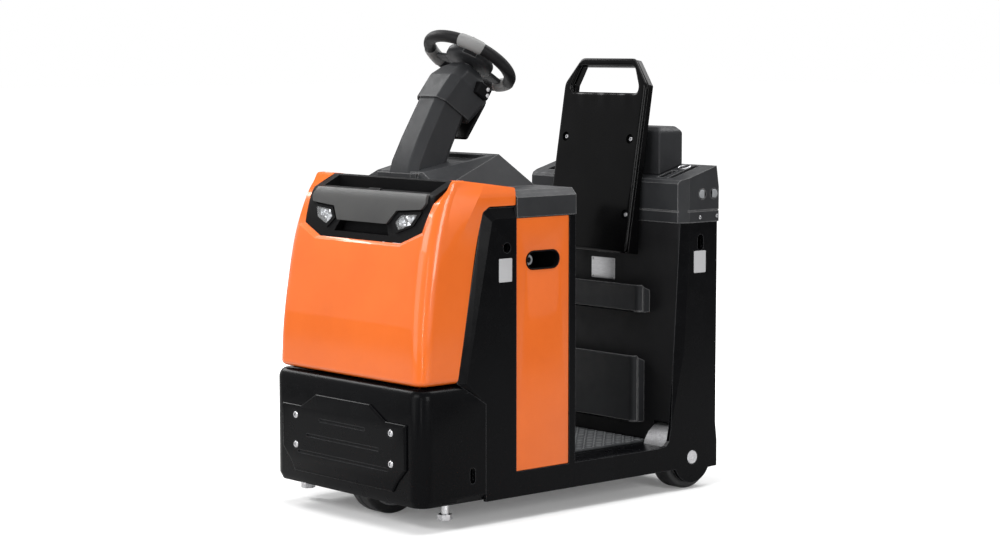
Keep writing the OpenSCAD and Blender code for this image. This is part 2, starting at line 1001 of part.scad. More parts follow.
module drive_hub() {
  w = drive_w / 2 - 2;
  color(steel)
    turned(0, drive_y, drive_r)
      polygon([[22.3, -20], [22.3, w], [40, w], [44, w - 14], [drive_rim - 10, w - 14],
        [drive_rim - 6, w], [drive_rim - 0.3, w], [drive_rim - 0.3, -w], [drive_rim - 8, -w],
        [drive_rim - 14, 14 - w], [44, 14 - w], [38, -w], [0, -w], [0, -25], [18, -25]]);
}

// Steering wheel

module on_wheel() {
  translate([0, rim_y, rim_z])
    rotate([-wheel_lean, 0, 0])
      children();
}

spokes = [-44, -164, 76];

module steering_rim() {
  clip = 26;
  color(black)
    on_wheel() {
      rotate_extrude()
        translate([rim_r, 0])
          circle(tube_r);
      for (a = spokes)
        rotate([0, 0, a - clip / 2])
          rotate_extrude(angle = clip)
            translate([rim_r, 0])
              circle(tube_r + 2);
    }
}

module steering_hub() {
  pad_r = 74;
  color(black)
    on_wheel() {
      difference() {
        union() {
          translate([0, 0, -14])
            cylinder(r = pad_r, h = 24);
          translate([0, 0, 10])
            cylinder(r1 = pad_r, r2 = pad_r - 16, h = 8);
          translate([0, 0, -head_gap + 8])
            cylinder(r = 26, h = head_gap - 20);
          for (a = spokes)
            rotate([0, 0, a])
              translate([pad_r - 10, -16, -12])
                cube([rim_r - tube_r - pad_r + 6.7, 32, 14]);
        }
        translate([0, 0, -head_gap])
          cylinder(r = 12.3, h = head_gap - 21);
      }
    }
}

side_plate_left();
side_plate_right();
side_panel_left();
side_panel_right();
front_bumper();
bumper_plate();
hood();
fascia();
headlamp_left();
headlamp_right();
dash_deck();
column_lower();
column_head();
floor_pan();
floor_mat();
front_bulkhead();
rear_wall();
rear_pockets();
nameplate();
rear_cover();
rear_box();
battery();
rear_panel();
backrest_pad();
backrest_shell();
tow_jaw();
inch_buttons_left();
inch_buttons_right();
jack_bolt_left();
jack_bolt_right();
rear_axle_left();
rear_axle_right();
wheel_box_left();
wheel_box_right();
drive_bridge();
drive_motor();
drive_gearbox();
drive_tyre();
drive_hub();
rear_tyre_left();
rear_tyre_right();
rear_hub_left();
rear_hub_right();
steering_rim();
steering_hub();
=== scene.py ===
"""Looks of a stand-on electric tow tractor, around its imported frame. Metres; front is -Y, left is +X."""
from math import atan2, cos, exp, pi, radians, sin, sqrt, tan

import bmesh
import bpy
from mathutils import Matrix, Vector


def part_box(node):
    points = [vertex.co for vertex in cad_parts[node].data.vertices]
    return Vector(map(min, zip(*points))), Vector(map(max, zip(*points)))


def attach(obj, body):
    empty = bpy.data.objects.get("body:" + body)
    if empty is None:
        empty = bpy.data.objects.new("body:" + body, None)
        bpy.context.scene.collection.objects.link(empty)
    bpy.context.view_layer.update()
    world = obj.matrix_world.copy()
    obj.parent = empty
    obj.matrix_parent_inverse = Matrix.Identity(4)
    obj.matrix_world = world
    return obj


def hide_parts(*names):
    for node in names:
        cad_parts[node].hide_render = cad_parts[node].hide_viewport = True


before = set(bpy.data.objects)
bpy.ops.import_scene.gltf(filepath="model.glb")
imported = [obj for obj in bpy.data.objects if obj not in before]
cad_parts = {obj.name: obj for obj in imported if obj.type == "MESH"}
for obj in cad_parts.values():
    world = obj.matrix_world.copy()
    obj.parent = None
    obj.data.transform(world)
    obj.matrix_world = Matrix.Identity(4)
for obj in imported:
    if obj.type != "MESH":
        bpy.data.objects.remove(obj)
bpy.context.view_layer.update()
MM = 0.001

# Places taken from the frame
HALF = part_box("side_plate_left")[1].x
BUMPER_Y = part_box("front_bumper")[0].y
BUMPER_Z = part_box("front_bumper")[1].z
HOOD_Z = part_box("hood")[1].z
ARM_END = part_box("hood")[1].y
DECK_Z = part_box("side_panel_left")[1].z + 80 * MM
WALL_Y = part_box("rear_wall")[0].y
REAR_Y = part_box("rear_panel")[1].y
REAR_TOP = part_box("rear_wall")[1].z
STEP_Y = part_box("front_bulkhead")[1].y
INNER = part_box("side_panel_left")[0].x
PANEL_LOW, PANEL_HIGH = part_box("side_panel_left")
AHEAD = BUMPER_Y - 0.1
BESIDE = HALF + 0.1
SIDES = (("left", 1), ("right", -1))
BOTH = (1, -1)


# Materials

class Finish:
    """A Principled material whose nodes are laid out by small helpers."""

    def __init__(self, name):
        self.mat = bpy.data.materials.new(name)
        self.mat.use_nodes = True
        self.tree = self.mat.node_tree
        self.shader = self.tree.nodes["Principled BSDF"]
        self.coords = self.add("ShaderNodeTexCoord").outputs["Object"]

    def add(self, kind, inputs=(), **settings):
        """A node with some of its settings and inputs filled in."""
        made = self.tree.nodes.new(kind)
        for key, value in settings.items():
            setattr(made, key, value)
        for key, value in dict(inputs).items():
            made.inputs[key].default_value = value
        return made

    def link(self, source, target):
        self.tree.links.new(source, target)

    def plain(self, **values):
        """Uniform values on the shader's own sockets."""
        for key, value in values.items():
            self.shader.inputs[key.replace("_", " ")].default_value = value

    def noise(self, scale, detail=3.0, rough=0.55, stretch=(1, 1, 1)):
        mapping = self.add("ShaderNodeMapping", {"Scale": stretch})
        self.link(self.coords, mapping.inputs["Vector"])
        tex = self.add("ShaderNodeTexNoise", {"Scale": scale, "Detail": detail, "Roughness": rough})
        self.link(mapping.outputs["Vector"], tex.inputs["Vector"])
        return tex.outputs["Fac"]

    def cells(self, scale):
        tex = self.add("ShaderNodeTexVoronoi", {"Scale": scale})
        self.link(self.coords, tex.inputs["Vector"])
        return tex.outputs["Distance"]

    def spread(self, source, low, high, start=0.3, stop=0.7):
        """The source's span from start to stop, laid over low to high."""
        span = self.add("ShaderNodeMapRange", {"From Min": start, "From Max": stop,
                                               "To Min": low, "To Max": high})
        self.link(source, span.inputs["Value"])
        return span.outputs["Result"]

    def edges(self, radius):
        """One on edges within the radius, nought on flats."""
        bevel = self.add("ShaderNodeBevel", {"Radius": radius}, samples=4)
        geometry = self.add("ShaderNodeNewGeometry")
        dot = self.add("ShaderNodeVectorMath", operation="DOT_PRODUCT")
        self.link(bevel.outputs["Normal"], dot.inputs[0])
        self.link(geometry.outputs["Normal"], dot.inputs[1])
        return self.spread(dot.outputs["Value"], 1.0, 0.0, 0.80, 0.985)

    def times(self, a, b):
        product = self.add("ShaderNodeMath", operation="MULTIPLY")
        self.link(a, product.inputs[0])
        self.link(b, product.inputs[1])
        return product.outputs["Value"]

    def colours(self, factor, dark, light, target="Base Color", under=None):
        """A mix of two colours, or of what lies under and the light one."""
        mix = self.add("ShaderNodeMix", {6: (*dark, 1), 7: (*light, 1)}, data_type="RGBA")
        if under is not None:
            self.link(under, mix.inputs[6])
        self.link(factor, mix.inputs[0])
        if target:
            self.link(mix.outputs[2], self.shader.inputs[target])
        return mix.outputs[2]

    def tone(self, source, dark, light):
        """A colour that drifts between dark and light."""
        return self.colours(self.spread(source, 0, 1), dark, light)

    def paint_edge_highlights(self, radius, tone, colour):
        """Painted highlights on edges: a lighter colour laid on them, more in some places than in others."""
        edge_highlight_mask = self.times(self.edges(radius), self.spread(self.noise(25.0), 0.6, 1.0))
        self.colours(edge_highlight_mask, colour, colour, under=tone)

    def roughness(self, source, low, high):
        self.link(self.spread(source, low, high), self.shader.inputs["Roughness"])

    def bump(self, height, strength, distance, under=None):
        made = self.add("ShaderNodeBump", {"Strength": strength, "Distance": distance})
        self.link(height, made.inputs["Height"])
        if under is not None:
            self.link(under, made.inputs["Normal"])
        self.link(made.outputs["Normal"], self.shader.inputs["Normal"])
        return made.outputs["Normal"]


def coated_paint(name, dark, light, rough, peel, coat=0.0, edge=None, shine=0.5):
    """Sprayed paint: slow drift of tone, orange peel, and lighter edges painted on as highlights."""
    f = Finish(name)
    tone = f.tone(f.noise(5.0, 4.0), dark, light)
    # The edge colour, where given, paints a highlight along the edges.
    if edge:
        f.paint_edge_highlights(3.5 * MM, tone, edge)
    f.roughness(f.noise(24.0, 5.0), *rough)
    f.bump(f.noise(420.0, 2.0), peel, 0.4 * MM)
    f.plain(Coat_Weight=coat, Coat_Roughness=0.045, Specular_IOR_Level=shine)
    return f.mat


def grained_plastic(name, dark, light, rough, grain=0.25, edge=None, shine=0.14):
    """Moulded plastic: fine leather grain over a slow drift of tone, and lighter edges painted on as
    highlights.
    """
    f = Finish(name)
    tone = f.tone(f.noise(7.0, 4.0), dark, light)
    # The edge colour, where given, paints a highlight along the edges.
    if edge:
        f.paint_edge_highlights(4.5 * MM, tone, edge)
    f.roughness(f.noise(35.0, 4.0), *rough)
    cells = f.bump(f.cells(520.0), grain, 0.5 * MM)
    f.bump(f.noise(1500.0, 2.0), grain * 0.6, 0.2 * MM, under=cells)
    f.plain(Specular_IOR_Level=shine)
    return f.mat


def gloss_skin(name, dark, light):
    """Glossy moulded skin: faint waviness, scuffs and fingerprints in the gloss."""
    f = Finish(name)
    f.tone(f.noise(9.0, 5.0), dark, light)
    f.roughness(f.noise(9.0, 3.0, 0.5), 0.12, 0.20)
    waves = f.bump(f.noise(12.0, 1.0), 0.10, 2.5 * MM)
    f.bump(f.noise(700.0, 2.0), 0.03, 0.2 * MM, under=waves)
    f.plain(Coat_Weight=0.03, Coat_Roughness=0.08, Specular_IOR_Level=0.06)
    return f.mat


def bare_metal(name, dark, light, rough, grain=(1, 1, 1), scale=180.0, bump=0.1):
    """Metal: brushed or cast grain along the stretched axis, with stained tone."""
    f = Finish(name)
    f.tone(f.noise(scale, 5.0, 0.65, grain), dark, light)
    f.roughness(f.noise(scale * 0.4, 4.0, 0.6, grain), *rough)
    f.bump(f.noise(scale * 3, 3.0, 0.6, grain), bump, 0.3 * MM)
    f.plain(Metallic=1.0)
    return f.mat


def rubber(name, dark, light, rough, dust=None, shine=0.3):
    """Rubber or cast elastomer: matt, finely pitted, with dust in patches."""
    f = Finish(name)
    tone = f.tone(f.noise(12.0, 5.0), dark, light)
    if dust:
        f.colours(f.spread(f.noise(30.0, 6.0, 0.7), 0, 0.6, 0.52, 0.75), dark, dust, under=tone)
    f.roughness(f.noise(50.0, 4.0), *rough)
    f.bump(f.noise(900.0, 3.0), 0.25, 0.4 * MM)
    f.plain(Specular_IOR_Level=shine)
    return f.mat


def clear_lens(name):
    """Moulded clear lens, faintly fluted."""
    f = Finish(name)
    f.tone(f.noise(30.0), (0.90, 0.92, 0.94), (0.97, 0.98, 0.99))
    f.roughness(f.noise(80.0), 0.02, 0.08)
    f.bump(f.noise(140.0, 1.0, 0.5, (1, 1, 0.15)), 0.15, 1.0 * MM)
    f.plain(Transmission_Weight=0.92, IOR=1.45)
    return f.mat


# Each finish: darker and lighter tone, least and most roughness, then what sets it apart
ORANGE = coated_paint("orange_paint", (0.80, 0.142, 0.012), (0.87, 0.163, 0.016), (0.30, 0.40), 0.05, 0.4,
                      shine=0.2)
# Slate's edge colour is a painted highlight on its edges.
SLATE = coated_paint("slate_paint", (0.0014, 0.0015, 0.0019), (0.0024, 0.0025, 0.0031), (0.20, 0.30), 0.10,
                     edge=(0.07, 0.071, 0.074), shine=0.05)
SHEET = coated_paint("dark_sheet", (0.009, 0.009, 0.0098), (0.014, 0.014, 0.015), (0.45, 0.6), 0.15,
                     shine=0.12)
# Black plastic's edge colour is a painted highlight on its edges.
PLASTIC = grained_plastic("black_plastic", (0.017, 0.0175, 0.019), (0.026, 0.027, 0.029), (0.42, 0.56),
                          edge=(0.27, 0.27, 0.272))
TRIM = grained_plastic("dark_trim", (0.0035, 0.0035, 0.0038), (0.0055, 0.0055, 0.006), (0.45, 0.58), 0.2,
                       shine=0.04)
VISOR = grained_plastic("visor_plastic", (0.042, 0.042, 0.042), (0.055, 0.055, 0.054), (0.34, 0.44), 0.12)
GLOSS = gloss_skin("gloss_black", (0.0018, 0.0018, 0.0020), (0.0030, 0.0030, 0.0032))
FOAM = rubber("rim_foam", (0.005, 0.005, 0.0055), (0.009, 0.009, 0.0095), (0.42, 0.6), shine=0.1)
CLAMP = grained_plastic("clamp_grey", (0.17, 0.17, 0.168), (0.22, 0.22, 0.218), (0.36, 0.46), 0.12)
STEEL = bare_metal("bright_steel", (0.32, 0.32, 0.33), (0.50, 0.50, 0.51), (0.22, 0.40))
CHROME = bare_metal("chrome", (0.78, 0.78, 0.79), (0.9, 0.9, 0.9), (0.05, 0.14))
BRUSHED = bare_metal("plate_silver", (0.42, 0.42, 0.43), (0.58, 0.58, 0.59), (0.3, 0.45), (1, 1, 14), 60.0)
CAST = bare_metal("hub_metal", (0.16, 0.16, 0.165), (0.26, 0.26, 0.265), (0.45, 0.62), scale=240.0, bump=0.3)
DRIVE = coated_paint("drive_metal", (0.014, 0.014, 0.015), (0.022, 0.022, 0.024), (0.45, 0.6), 0.3)
TYRE = rubber("tyre", (0.009, 0.009, 0.010), (0.016, 0.016, 0.017), (0.4, 0.6), (0.05, 0.048, 0.045))
MAT = rubber("mat", (0.026, 0.028, 0.030), (0.040, 0.042, 0.045), (0.55, 0.75), (0.08, 0.08, 0.08))
STUD = rubber("mat_studs", (0.12, 0.125, 0.13), (0.17, 0.175, 0.18), (0.4, 0.55), (0.24, 0.24, 0.24))
BUTTON = rubber("button_grey", (0.24, 0.25, 0.26), (0.31, 0.32, 0.33), (0.45, 0.6))
LABEL = coated_paint("blank_label", (0.46, 0.46, 0.47), (0.52, 0.52, 0.53), (0.35, 0.45), 0.05)
BATTERY = coated_paint("battery_case", (0.010, 0.011, 0.012), (0.016, 0.017, 0.018), (0.4, 0.55), 0.2)
LENS = clear_lens("lamp")


# Outlines and places

def mm(*rows):
    """Points given in millimetres."""
    return [tuple(v * MM for v in row) for row in rows]


def turns(count):
    """Angles spread evenly round a circle."""
    return [2 * pi * k / count for k in range(count)]


def unit(value):
    """The value kept between nought and one."""
    return min(max(value, 0), 1)


def circle(u, v, radius, count=32):
    return [(u + radius * cos(a), v + radius * sin(a)) for a in turns(count)]


def oblong(u0, v0, u1, v1):
    """The corners of a rectangle."""
    return [(u0, v0), (u1, v0), (u1, v1), (u0, v1)]


def stadium(u, v, reach, radius, steps):
    """A slot with round ends whose centres lie at the reach on both sides of the middle."""
    arc = [pi * k / steps for k in range(steps + 1)]
    right = [(u + reach + radius * sin(a), v - radius * cos(a)) for a in arc]
    return right + [(2 * u - a, 2 * v - b) for a, b in right]


def rounded(points, radius, steps=6):
    """An outline with its corners rounded by a radius in millimetres."""
    out = []
    count = len(points)
    for k in range(count):
        before, here, after = (Vector(points[(k + d) % count]) for d in (-1, 0, 1))
        a, b = (before - here), (after - here)
        turn = a.angle(b)
        if turn > radians(175):
            out.append(here)
            continue
        reach = min(radius * MM / tan(turn / 2), 0.48 * a.length, 0.48 * b.length)
        start, stop = here + a.normalized() * reach, here + b.normalized() * reach
        for s in range(steps + 1):
            t = s / steps
            out.append(start.lerp(here, t).lerp(here.lerp(stop, t), t))
    return out


def along(points, count):
    """Points spread evenly between the corners of a path."""
    out = [points[0]]
    for a, b in zip(points, points[1:]):
        out += [tuple(p + (q - p) * k / count for p, q in zip(a, b)) for k in range(1, count + 1)]
    return out


def middle(points):
    return [sum(values) / len(points) for values in zip(*points)]


def scaled(points, factor):
    """An outline grown or shrunk about its middle."""
    u, v = middle(points)
    return [(u + (p[0] - u) * factor, v + (p[1] - v) * factor) for p in points]


def mirror_points(points):
    return [(-x, z) for x, z in points[::-1]]


def both_sides(points):
    """A symmetric outline from its left half, listed upward."""
    return points + mirror_points(points)


def facing(spot, out):
    """A frame at a spot whose local Z points out."""
    return Matrix.Translation(spot) @ Vector(out).to_track_quat("Z", "Y").to_matrix().to_4x4()


def tilted(y, z, angle):
    """A frame on the middle plane, turned about X."""
    return Matrix.Translation((0, y, z)) @ Matrix.Rotation(angle, 4, "X")


def raised(height):
    """A shift along the local Z, in millimetres."""
    return Matrix.Translation((0, 0, height * MM))


def on_flank(x):
    """A frame on a plane across X: its local X runs back and its local Y up."""
    return Matrix.Translation((x, 0, 0)) @ Matrix(((0, 0, 1, 0), (1, 0, 0, 0), (0, 1, 0, 0), (0, 0, 0, 1)))


def on_wall(y):
    """A frame on a plane across Y: its local X runs left and its local Y up."""
    return Matrix.Translation((0, y, 0)) @ Matrix(((1, 0, 0, 0), (0, 0, -1, 0), (0, 1, 0, 0), (0, 0, 0, 1)))


BACK_LEAN = radians(9.5)
BACK = tilted(WALL_Y - 82 * MM, REAR_TOP - 99 * MM, pi / 2 - BACK_LEAN)
WHEEL_LEAN = radians(34)
WHEEL = tilted(STEP_Y - 111 * MM, 1330 * MM, -WHEEL_LEAN)
HEAD = WHEEL @ raised(-72)


# Mesh helpers

def show(name, data):
    """A new object in the scene."""
    made = bpy.data.objects.new(name, data)
    bpy.context.scene.collection.objects.link(made)
    return made


def applied(made):
    """The mesh of an object with its modifiers applied."""
    return bpy.data.meshes.new_from_object(made.evaluated_get(bpy.context.evaluated_depsgraph_get()))


def settle(made, angle=28):
    """Smooth shading, with crisp edges where the surface turns by more than the angle."""
    made.data.shade_smooth()
    made.data.set_sharp_from_angle(angle=radians(angle))
    return made


def piece(name, bm, mat, body="chassis", replaces=(), smooth=40):
    """A shown piece from a bmesh, riding on a body and standing for some nodes."""
    bmesh.ops.recalc_face_normals(bm, faces=bm.faces)
    mesh = bpy.data.meshes.new(name)
    bm.to_mesh(mesh)
    bm.free()
    mesh.materials.append(mat)
    made = settle(show(name, mesh), smooth)
    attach(made, body)
    if replaces:
        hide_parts(*replaces)
    return made


def soften(made, width, segments=3, angle=30, shortest=0.0):
    """Round every edge sharper than the angle and longer than the shortest; lengths in millimetres."""
    bm = bmesh.new()
    bm.from_mesh(made.data)
    weight = bm.edges.layers.float.new("bevel_weight_edge")
    for edge in bm.edges:
        long = edge.is_manifold and edge.calc_length() > shortest * MM
        if long and edge.calc_face_angle() > radians(angle):
            edge[weight] = 1.0
    bm.to_mesh(made.data)
    bm.free()
    bevel = made.modifiers.new("soft_edges", "BEVEL")
    bevel.width = width * MM
    bevel.segments = segments
    bevel.limit_method = "WEIGHT"
    bevel.harden_normals = True
    return made


def weld(bm, distance=0.01):
    """Join points closer than a distance in millimetres."""
    bmesh.ops.remove_doubles(bm, verts=bm.verts, dist=distance * MM)


def node_copy(node):
    """A clean bmesh of a node: welded, with each flat face in one piece."""
    flat = radians(0.6)
    bm = bmesh.new()
    bm.from_mesh(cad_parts[node].data)
    weld(bm)
    bmesh.ops.dissolve_limit(bm, angle_limit=flat, verts=bm.verts, edges=bm.edges)
    return bm


def refine(node, mat, width, body="chassis", shortest=3.5):
    """The node's own shape with rounded edges."""
    made = piece(node + "_skin", node_copy(node), mat, body, (node,), 14)
    return soften(made, width, shortest=shortest)


def slab(outlines, thickness, bevel, resolution=3):
    """A flat slab with holes and rounded edges, centred on its own plane."""
    curve = bpy.data.curves.new("slab", "CURVE")
    curve.dimensions = "2D"
    curve.fill_mode = "BOTH"
    curve.extrude = thickness / 2 - bevel
    curve.bevel_depth = bevel
    curve.bevel_resolution = resolution
    curve.offset = -bevel
    for points in outlines:
        spline = curve.splines.new("POLY")
        spline.points.add(len(points) - 1)
        for spot, p in zip(spline.points, points):
            spot.co = (p[0], p[1], 0, 1)
        spline.use_cyclic_u = True
    holder = show("slab", curve)
    mesh = applied(holder)
    bm = bmesh.new()
    bm.from_mesh(mesh)
    weld(bm, 0.005)
    bpy.data.objects.remove(holder)
    bpy.data.curves.remove(curve)
    bpy.data.meshes.remove(mesh)
    return bm


def rings(bm, loops, cyclic=False):
    """Quads between loops of points of one length; each loop is closed."""
    rows = [[bm.verts.new(p) for p in loop] for loop in loops]
    pairs = list(zip(rows, rows[1:])) + ([(rows[-1], rows[0])] if cyclic else [])
    for a, b in pairs:
        for k in range(len(a)):
            j = (k + 1) % len(a)
            bm.faces.new((a[k], a[j], b[j], b[k]))
    if not cyclic:
        bm.faces.new(rows[0][::-1])
        bm.faces.new(rows[-1])
    return bm


def turned(bm, profile, place, count, cyclic=False):
    """A turned shape: profile of (radius, height) about the local Z of place."""
    loops = [[place @ Vector((r * cos(a), r * sin(a), h)) for a in turns(count)] for r, h in profile]
    return rings(bm, loops, cyclic)


def head_ring(place, height, radius, hexed=False):
    """One ring of a screw head; on a hexed one the radius reaches the middle of the flats."""
    out = []
    for a in turns(24):
        r = radius / cos((a % (pi / 3)) - pi / 6) if hexed else radius
        out.append(place @ Vector((r * cos(a), r * sin(a), height)))
    return out


def cap_screw(bm, spot, out, radius, height):
    """A screw head with a chamfered rim and a hexagon socket; its size is in millimetres."""
    place = facing(spot, out)
    chamfer, socket = 0.16 * radius, 0.46 * radius
    rows = [(-height * 0.3, radius), (height - chamfer, radius), (height, radius - chamfer),
            (height, socket * 1.1, True), (height - chamfer, socket, True), (height * 0.35, socket, True)]
    rings(bm, [head_ring(place, h * MM, r * MM, *hexed) for h, r, *hexed in rows])


def hex_head(bm, spot, out, radius, height):
    """A hexagon bolt head with its chamfered top and a washer face; its size is in millimetres."""
    place = facing(spot, out)
    washer, flats = radius * 1.12, radius * cos(pi / 6)
    rows = [(0, washer), (height * 0.14, washer), (height * 0.15, flats, True), (height * 0.86, flats, True),
            (height, radius * 0.84)]
    rings(bm, [head_ring(place, h * MM, r * MM, *hexed) for h, r, *hexed in rows])


def cut(made, cutter, mode="DIFFERENCE"):
    """Apply a boolean with a bmesh cutter."""
    bmesh.ops.recalc_face_normals(cutter, faces=cutter.faces)
    mesh = bpy.data.meshes.new("cutter")
    cutter.to_mesh(mesh)
    cutter.free()
    tool = show("cutter", mesh)
    mod = made.modifiers.new("cut", "BOOLEAN")
    mod.operation = mode
    mod.solver = "EXACT"
    mod.object = tool
    result = applied(made)
    made.modifiers.remove(mod)
    old = made.data
    made.data = result
    bpy.data.meshes.remove(old)
    bpy.data.objects.remove(tool)
    return made


def prism(points, axis, low, high):
    """A straight block along x, y or z, over an outline of (y, z), (x, z) or (x, y) points."""
    def at(p, depth):
        return {"x": (depth, p[0], p[1]), "y": (p[0], depth, p[1]), "z": (p[0], p[1], depth)}[axis]
    return rings(bmesh.new(), [[at(p, depth) for p in points] for depth in (low, high)])


def brick(low, high):
    return prism(oblong(low[0], low[1], high[0], high[1]), "z", low[2], high[2])


def add(bm, other, place=None):
    """Put another bmesh into this one."""
    if place is not None:
        other.transform(place)
    mesh = bpy.data.meshes.new("part")
    other.to_mesh(mesh)
    other.free()
    bm.from_mesh(mesh)
    bpy.data.meshes.remove(mesh)
    return bm


def to_side(bm, sign):
    """A shape made on the left, on the side that the sign gives."""
    if sign < 0:
        bmesh.ops.scale(bm, vec=(-1, 1, 1), verts=bm.verts)
        bmesh.ops.reverse_faces(bm, faces=bm.faces)
    return bm


# Nose: hood, fascia and lamps

HOOD_T = 6 * MM
FASCIA_IN = 12 * MM
FASCIA_BACK = BUMPER_Y + 190 * MM
DECK_IN = HALF - 92 * MM
SLOPE_Y = BUMPER_Y + 170 * MM
ARM_TOP = DECK_Z + 8 * MM


def nose_levels():
    """Levels from the bumper up: in from flank, back from bumper, corner radius, height, in at rear."""
    low, top = BUMPER_Z / MM, HOOD_Z / MM
    return [(8, 8, 40, low, 8), (9, 12, 46, low + 120, 9), (13, 24, 50, low + 240, 12),
            (18, 50, 52, top - 181, 14), (26, 88, 52, top - 66, 5), (28, 114, 46, top - 26, 9),
            (30, 132, 34, top - 3, 18), (36, 142, 30, top, 24)]


def nose_table(steps=12):
    """The levels joined by smooth curves: half width, front, corner radius, height, half width at rear."""
    levels = nose_levels()
    last = len(levels) - 1
    table = []
    for k in range(last * steps + 1):
        i = min(k // steps, last - 1)
        t = k / steps - i
        row = []
        for c in range(5):
            a, b = levels[i][c], levels[i + 1][c]
            ta = (b - levels[max(i - 1, 0)][c]) / (2 if i else 1)
            tb = (levels[min(i + 2, last)][c] - a) / (2 if i + 2 <= last else 1)
            row.append(a * (2 * t**3 - 3 * t**2 + 1) + ta * (t**3 - 2 * t**2 + t)
                       + b * (3 * t**2 - 2 * t**3) + tb * (t**3 - t**2))
        inset, back, radius, height, rear = (v * MM for v in row)
        table.append((HALF - inset, BUMPER_Y + back, radius, height, HALF - rear))
    return table


NOSE = nose_table()


def nose_at(z):
    """The table's row at a height."""
    for a, b in zip(NOSE, NOSE[1:]):
        if z <= b[3] or b is NOSE[-1]:
            t = unit((z - a[3]) / max(b[3] - a[3], 1e-6))
            return [p + (q - p) * t for p, q in zip(a, b)]


def skin_y(x, z):
    """Where the nose's outer skin is, seen from the front."""
    width, front, radius, _, _ = nose_at(z)
    over = min(max(abs(x) - (width - radius), 0), radius * 0.995)
    return front + radius - sqrt(radius**2 - over**2)


def behind(depth):
    """A surface behind the nose's skin by a depth in millimetres."""
    return lambda x, z: skin_y(x, z) + depth * MM


def nose_loop(row, inset, rear_y, drop):
    """One closed section of the nose, from the left rear round the front to the right rear."""
    width, front, radius, height, rear = row
    width, rear, front, radius = width - inset, rear - inset, front + inset, radius - inset
    z = height - drop
    turn_y = front + radius
    # The flank's crease starts at the corner and runs back as it rises
    rise = unit((z - BUMPER_Z) / (HOOD_Z - BUMPER_Z))
    crease_y = turn_y + (6 + 78 * rise**1.4) * MM
    left = [(rear, rear_y + (crease_y - rear_y) * k / 6) for k in range(6)]
    left += [(rear + (width - rear) * k / 5, crease_y + (turn_y - crease_y) * k / 5) for k in range(5)]
    left += [(width - radius + radius * cos(a), front + radius - radius * sin(a))
             for a in (pi / 2 * k / 14 for k in range(15))]
    left += [((width - radius) * (1 - k / 16), front) for k in range(1, 17)]
    return [(x, y, z) for x, y in left + mirror_points(left[:-1])]


def nose_solid(inset, rear_y, low):
    """The nose inside its skin by the inset, rolled in along its lower edge and open downward by the low."""
    roll, rounding = 16 * MM, 70 * MM
    loops = []
    if low:
        loops.append(nose_loop(NOSE[0], inset + roll, rear_y, low))
    for k in range(13):
        a = pi / 2 * k / 12
        row = nose_at(BUMPER_Z + roll * (1 - cos(a)))
        loops.append(nose_loop(row, inset + roll * (1 - sin(a)), rear_y, 0))
    for row in NOSE:
        if row[3] < BUMPER_Z + roll + 2 * MM:
            continue
        near_top = unit((row[3] - HOOD_Z + rounding) / rounding)
        loops.append(nose_loop(row, inset, rear_y, inset * near_top))
    return rings(bmesh.new(), loops)


def front_view(rows):
    """Outline points from distances in from the flank and depths below the hood's top, in millimetres."""
    return [(HALF - a * MM, HOOD_Z - b * MM) for a, b in rows]


CREST = front_view([(151, 189), (56, 151), (40, 66), (36, 1)])
FASCIA_EDGE = front_view([(162, 181), (75, 146), (62, 66), (66, 4)])
LAMP_EDGE = front_view([(212, 124), (190, 98), (100, 91), (122, 128), (185, 150)])


def deck_room(front_y):
    """The room between the hood's arms."""
    return brick((-DECK_IN, front_y, DECK_Z - 100 * MM), (DECK_IN, ARM_END + 30 * MM, HOOD_Z + 0.1))


def make_hood():
    """The orange shell: cut to its side view, hollowed, and open for the fascia and the deck."""
    hood = piece("hood_shell", nose_solid(0, ARM_END, 0), ORANGE, replaces=("hood",))
    arm_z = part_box("side_plate_left")[1].z + 4 * MM
    front, under, end = BUMPER_Y - 20 * MM, BUMPER_Z - 5 * MM, ARM_END + 5 * MM
    reach = [(front, under), (BUMPER_Y + 144 * MM, under), (BUMPER_Y + 239 * MM, arm_z - 15 * MM),
             (BUMPER_Y + 262 * MM, arm_z), (end, arm_z), (end, ARM_TOP), (SLOPE_Y, HOOD_Z + 0.3 * MM),
             (front, HOOD_Z + 20 * MM)]
    cut(hood, prism(rounded(reach, 14), "x", -BESIDE, BESIDE), "INTERSECT")
    cut(hood, nose_solid(HOOD_T, ARM_END + 40 * MM, 20 * MM))
    opening = both_sides(CREST + [(CREST[-1][0], HOOD_Z + 60 * MM)])
    cut(hood, prism(opening, "y", BUMPER_Y - 50 * MM, FASCIA_BACK))
    cut(hood, deck_room(FASCIA_BACK - 1 * MM))
    settle(hood, 9)


def make_hood_arms():
    """Top and inner wall of each arm, between the fascia and the deck's cap."""
    slope_z = HOOD_Z - 0.4 * MM
    fall = (ARM_TOP - HOOD_Z) / (ARM_END + 5 * MM - SLOPE_Y)
    ends = [(y, slope_z + fall * max(y - SLOPE_Y, 0)) for y in (FASCIA_BACK - 2 * MM, ARM_END - 0.5 * MM)]
    roof = ends + [(y, z - HOOD_T) for y, z in ends[::-1]]
    wall = ends + [(y, DECK_Z - 15 * MM) for y, _ in ends[::-1]]
    made = piece("hood_arm_tops", nose_solid(1 * MM, ARM_END, 0), ORANGE)
    cut(made, prism(roof, "x", -BESIDE, BESIDE), "INTERSECT")
    cut(made, deck_room(FASCIA_BACK - 20 * MM))
    walls = bmesh.new()
    walls.from_mesh(made.data)
    for low in (DECK_IN, -DECK_IN - HOOD_T):
        add(walls, prism(wall, "x", low, low + HOOD_T))
    walls.to_mesh(made.data)
    walls.free()
    settle(made, 20)


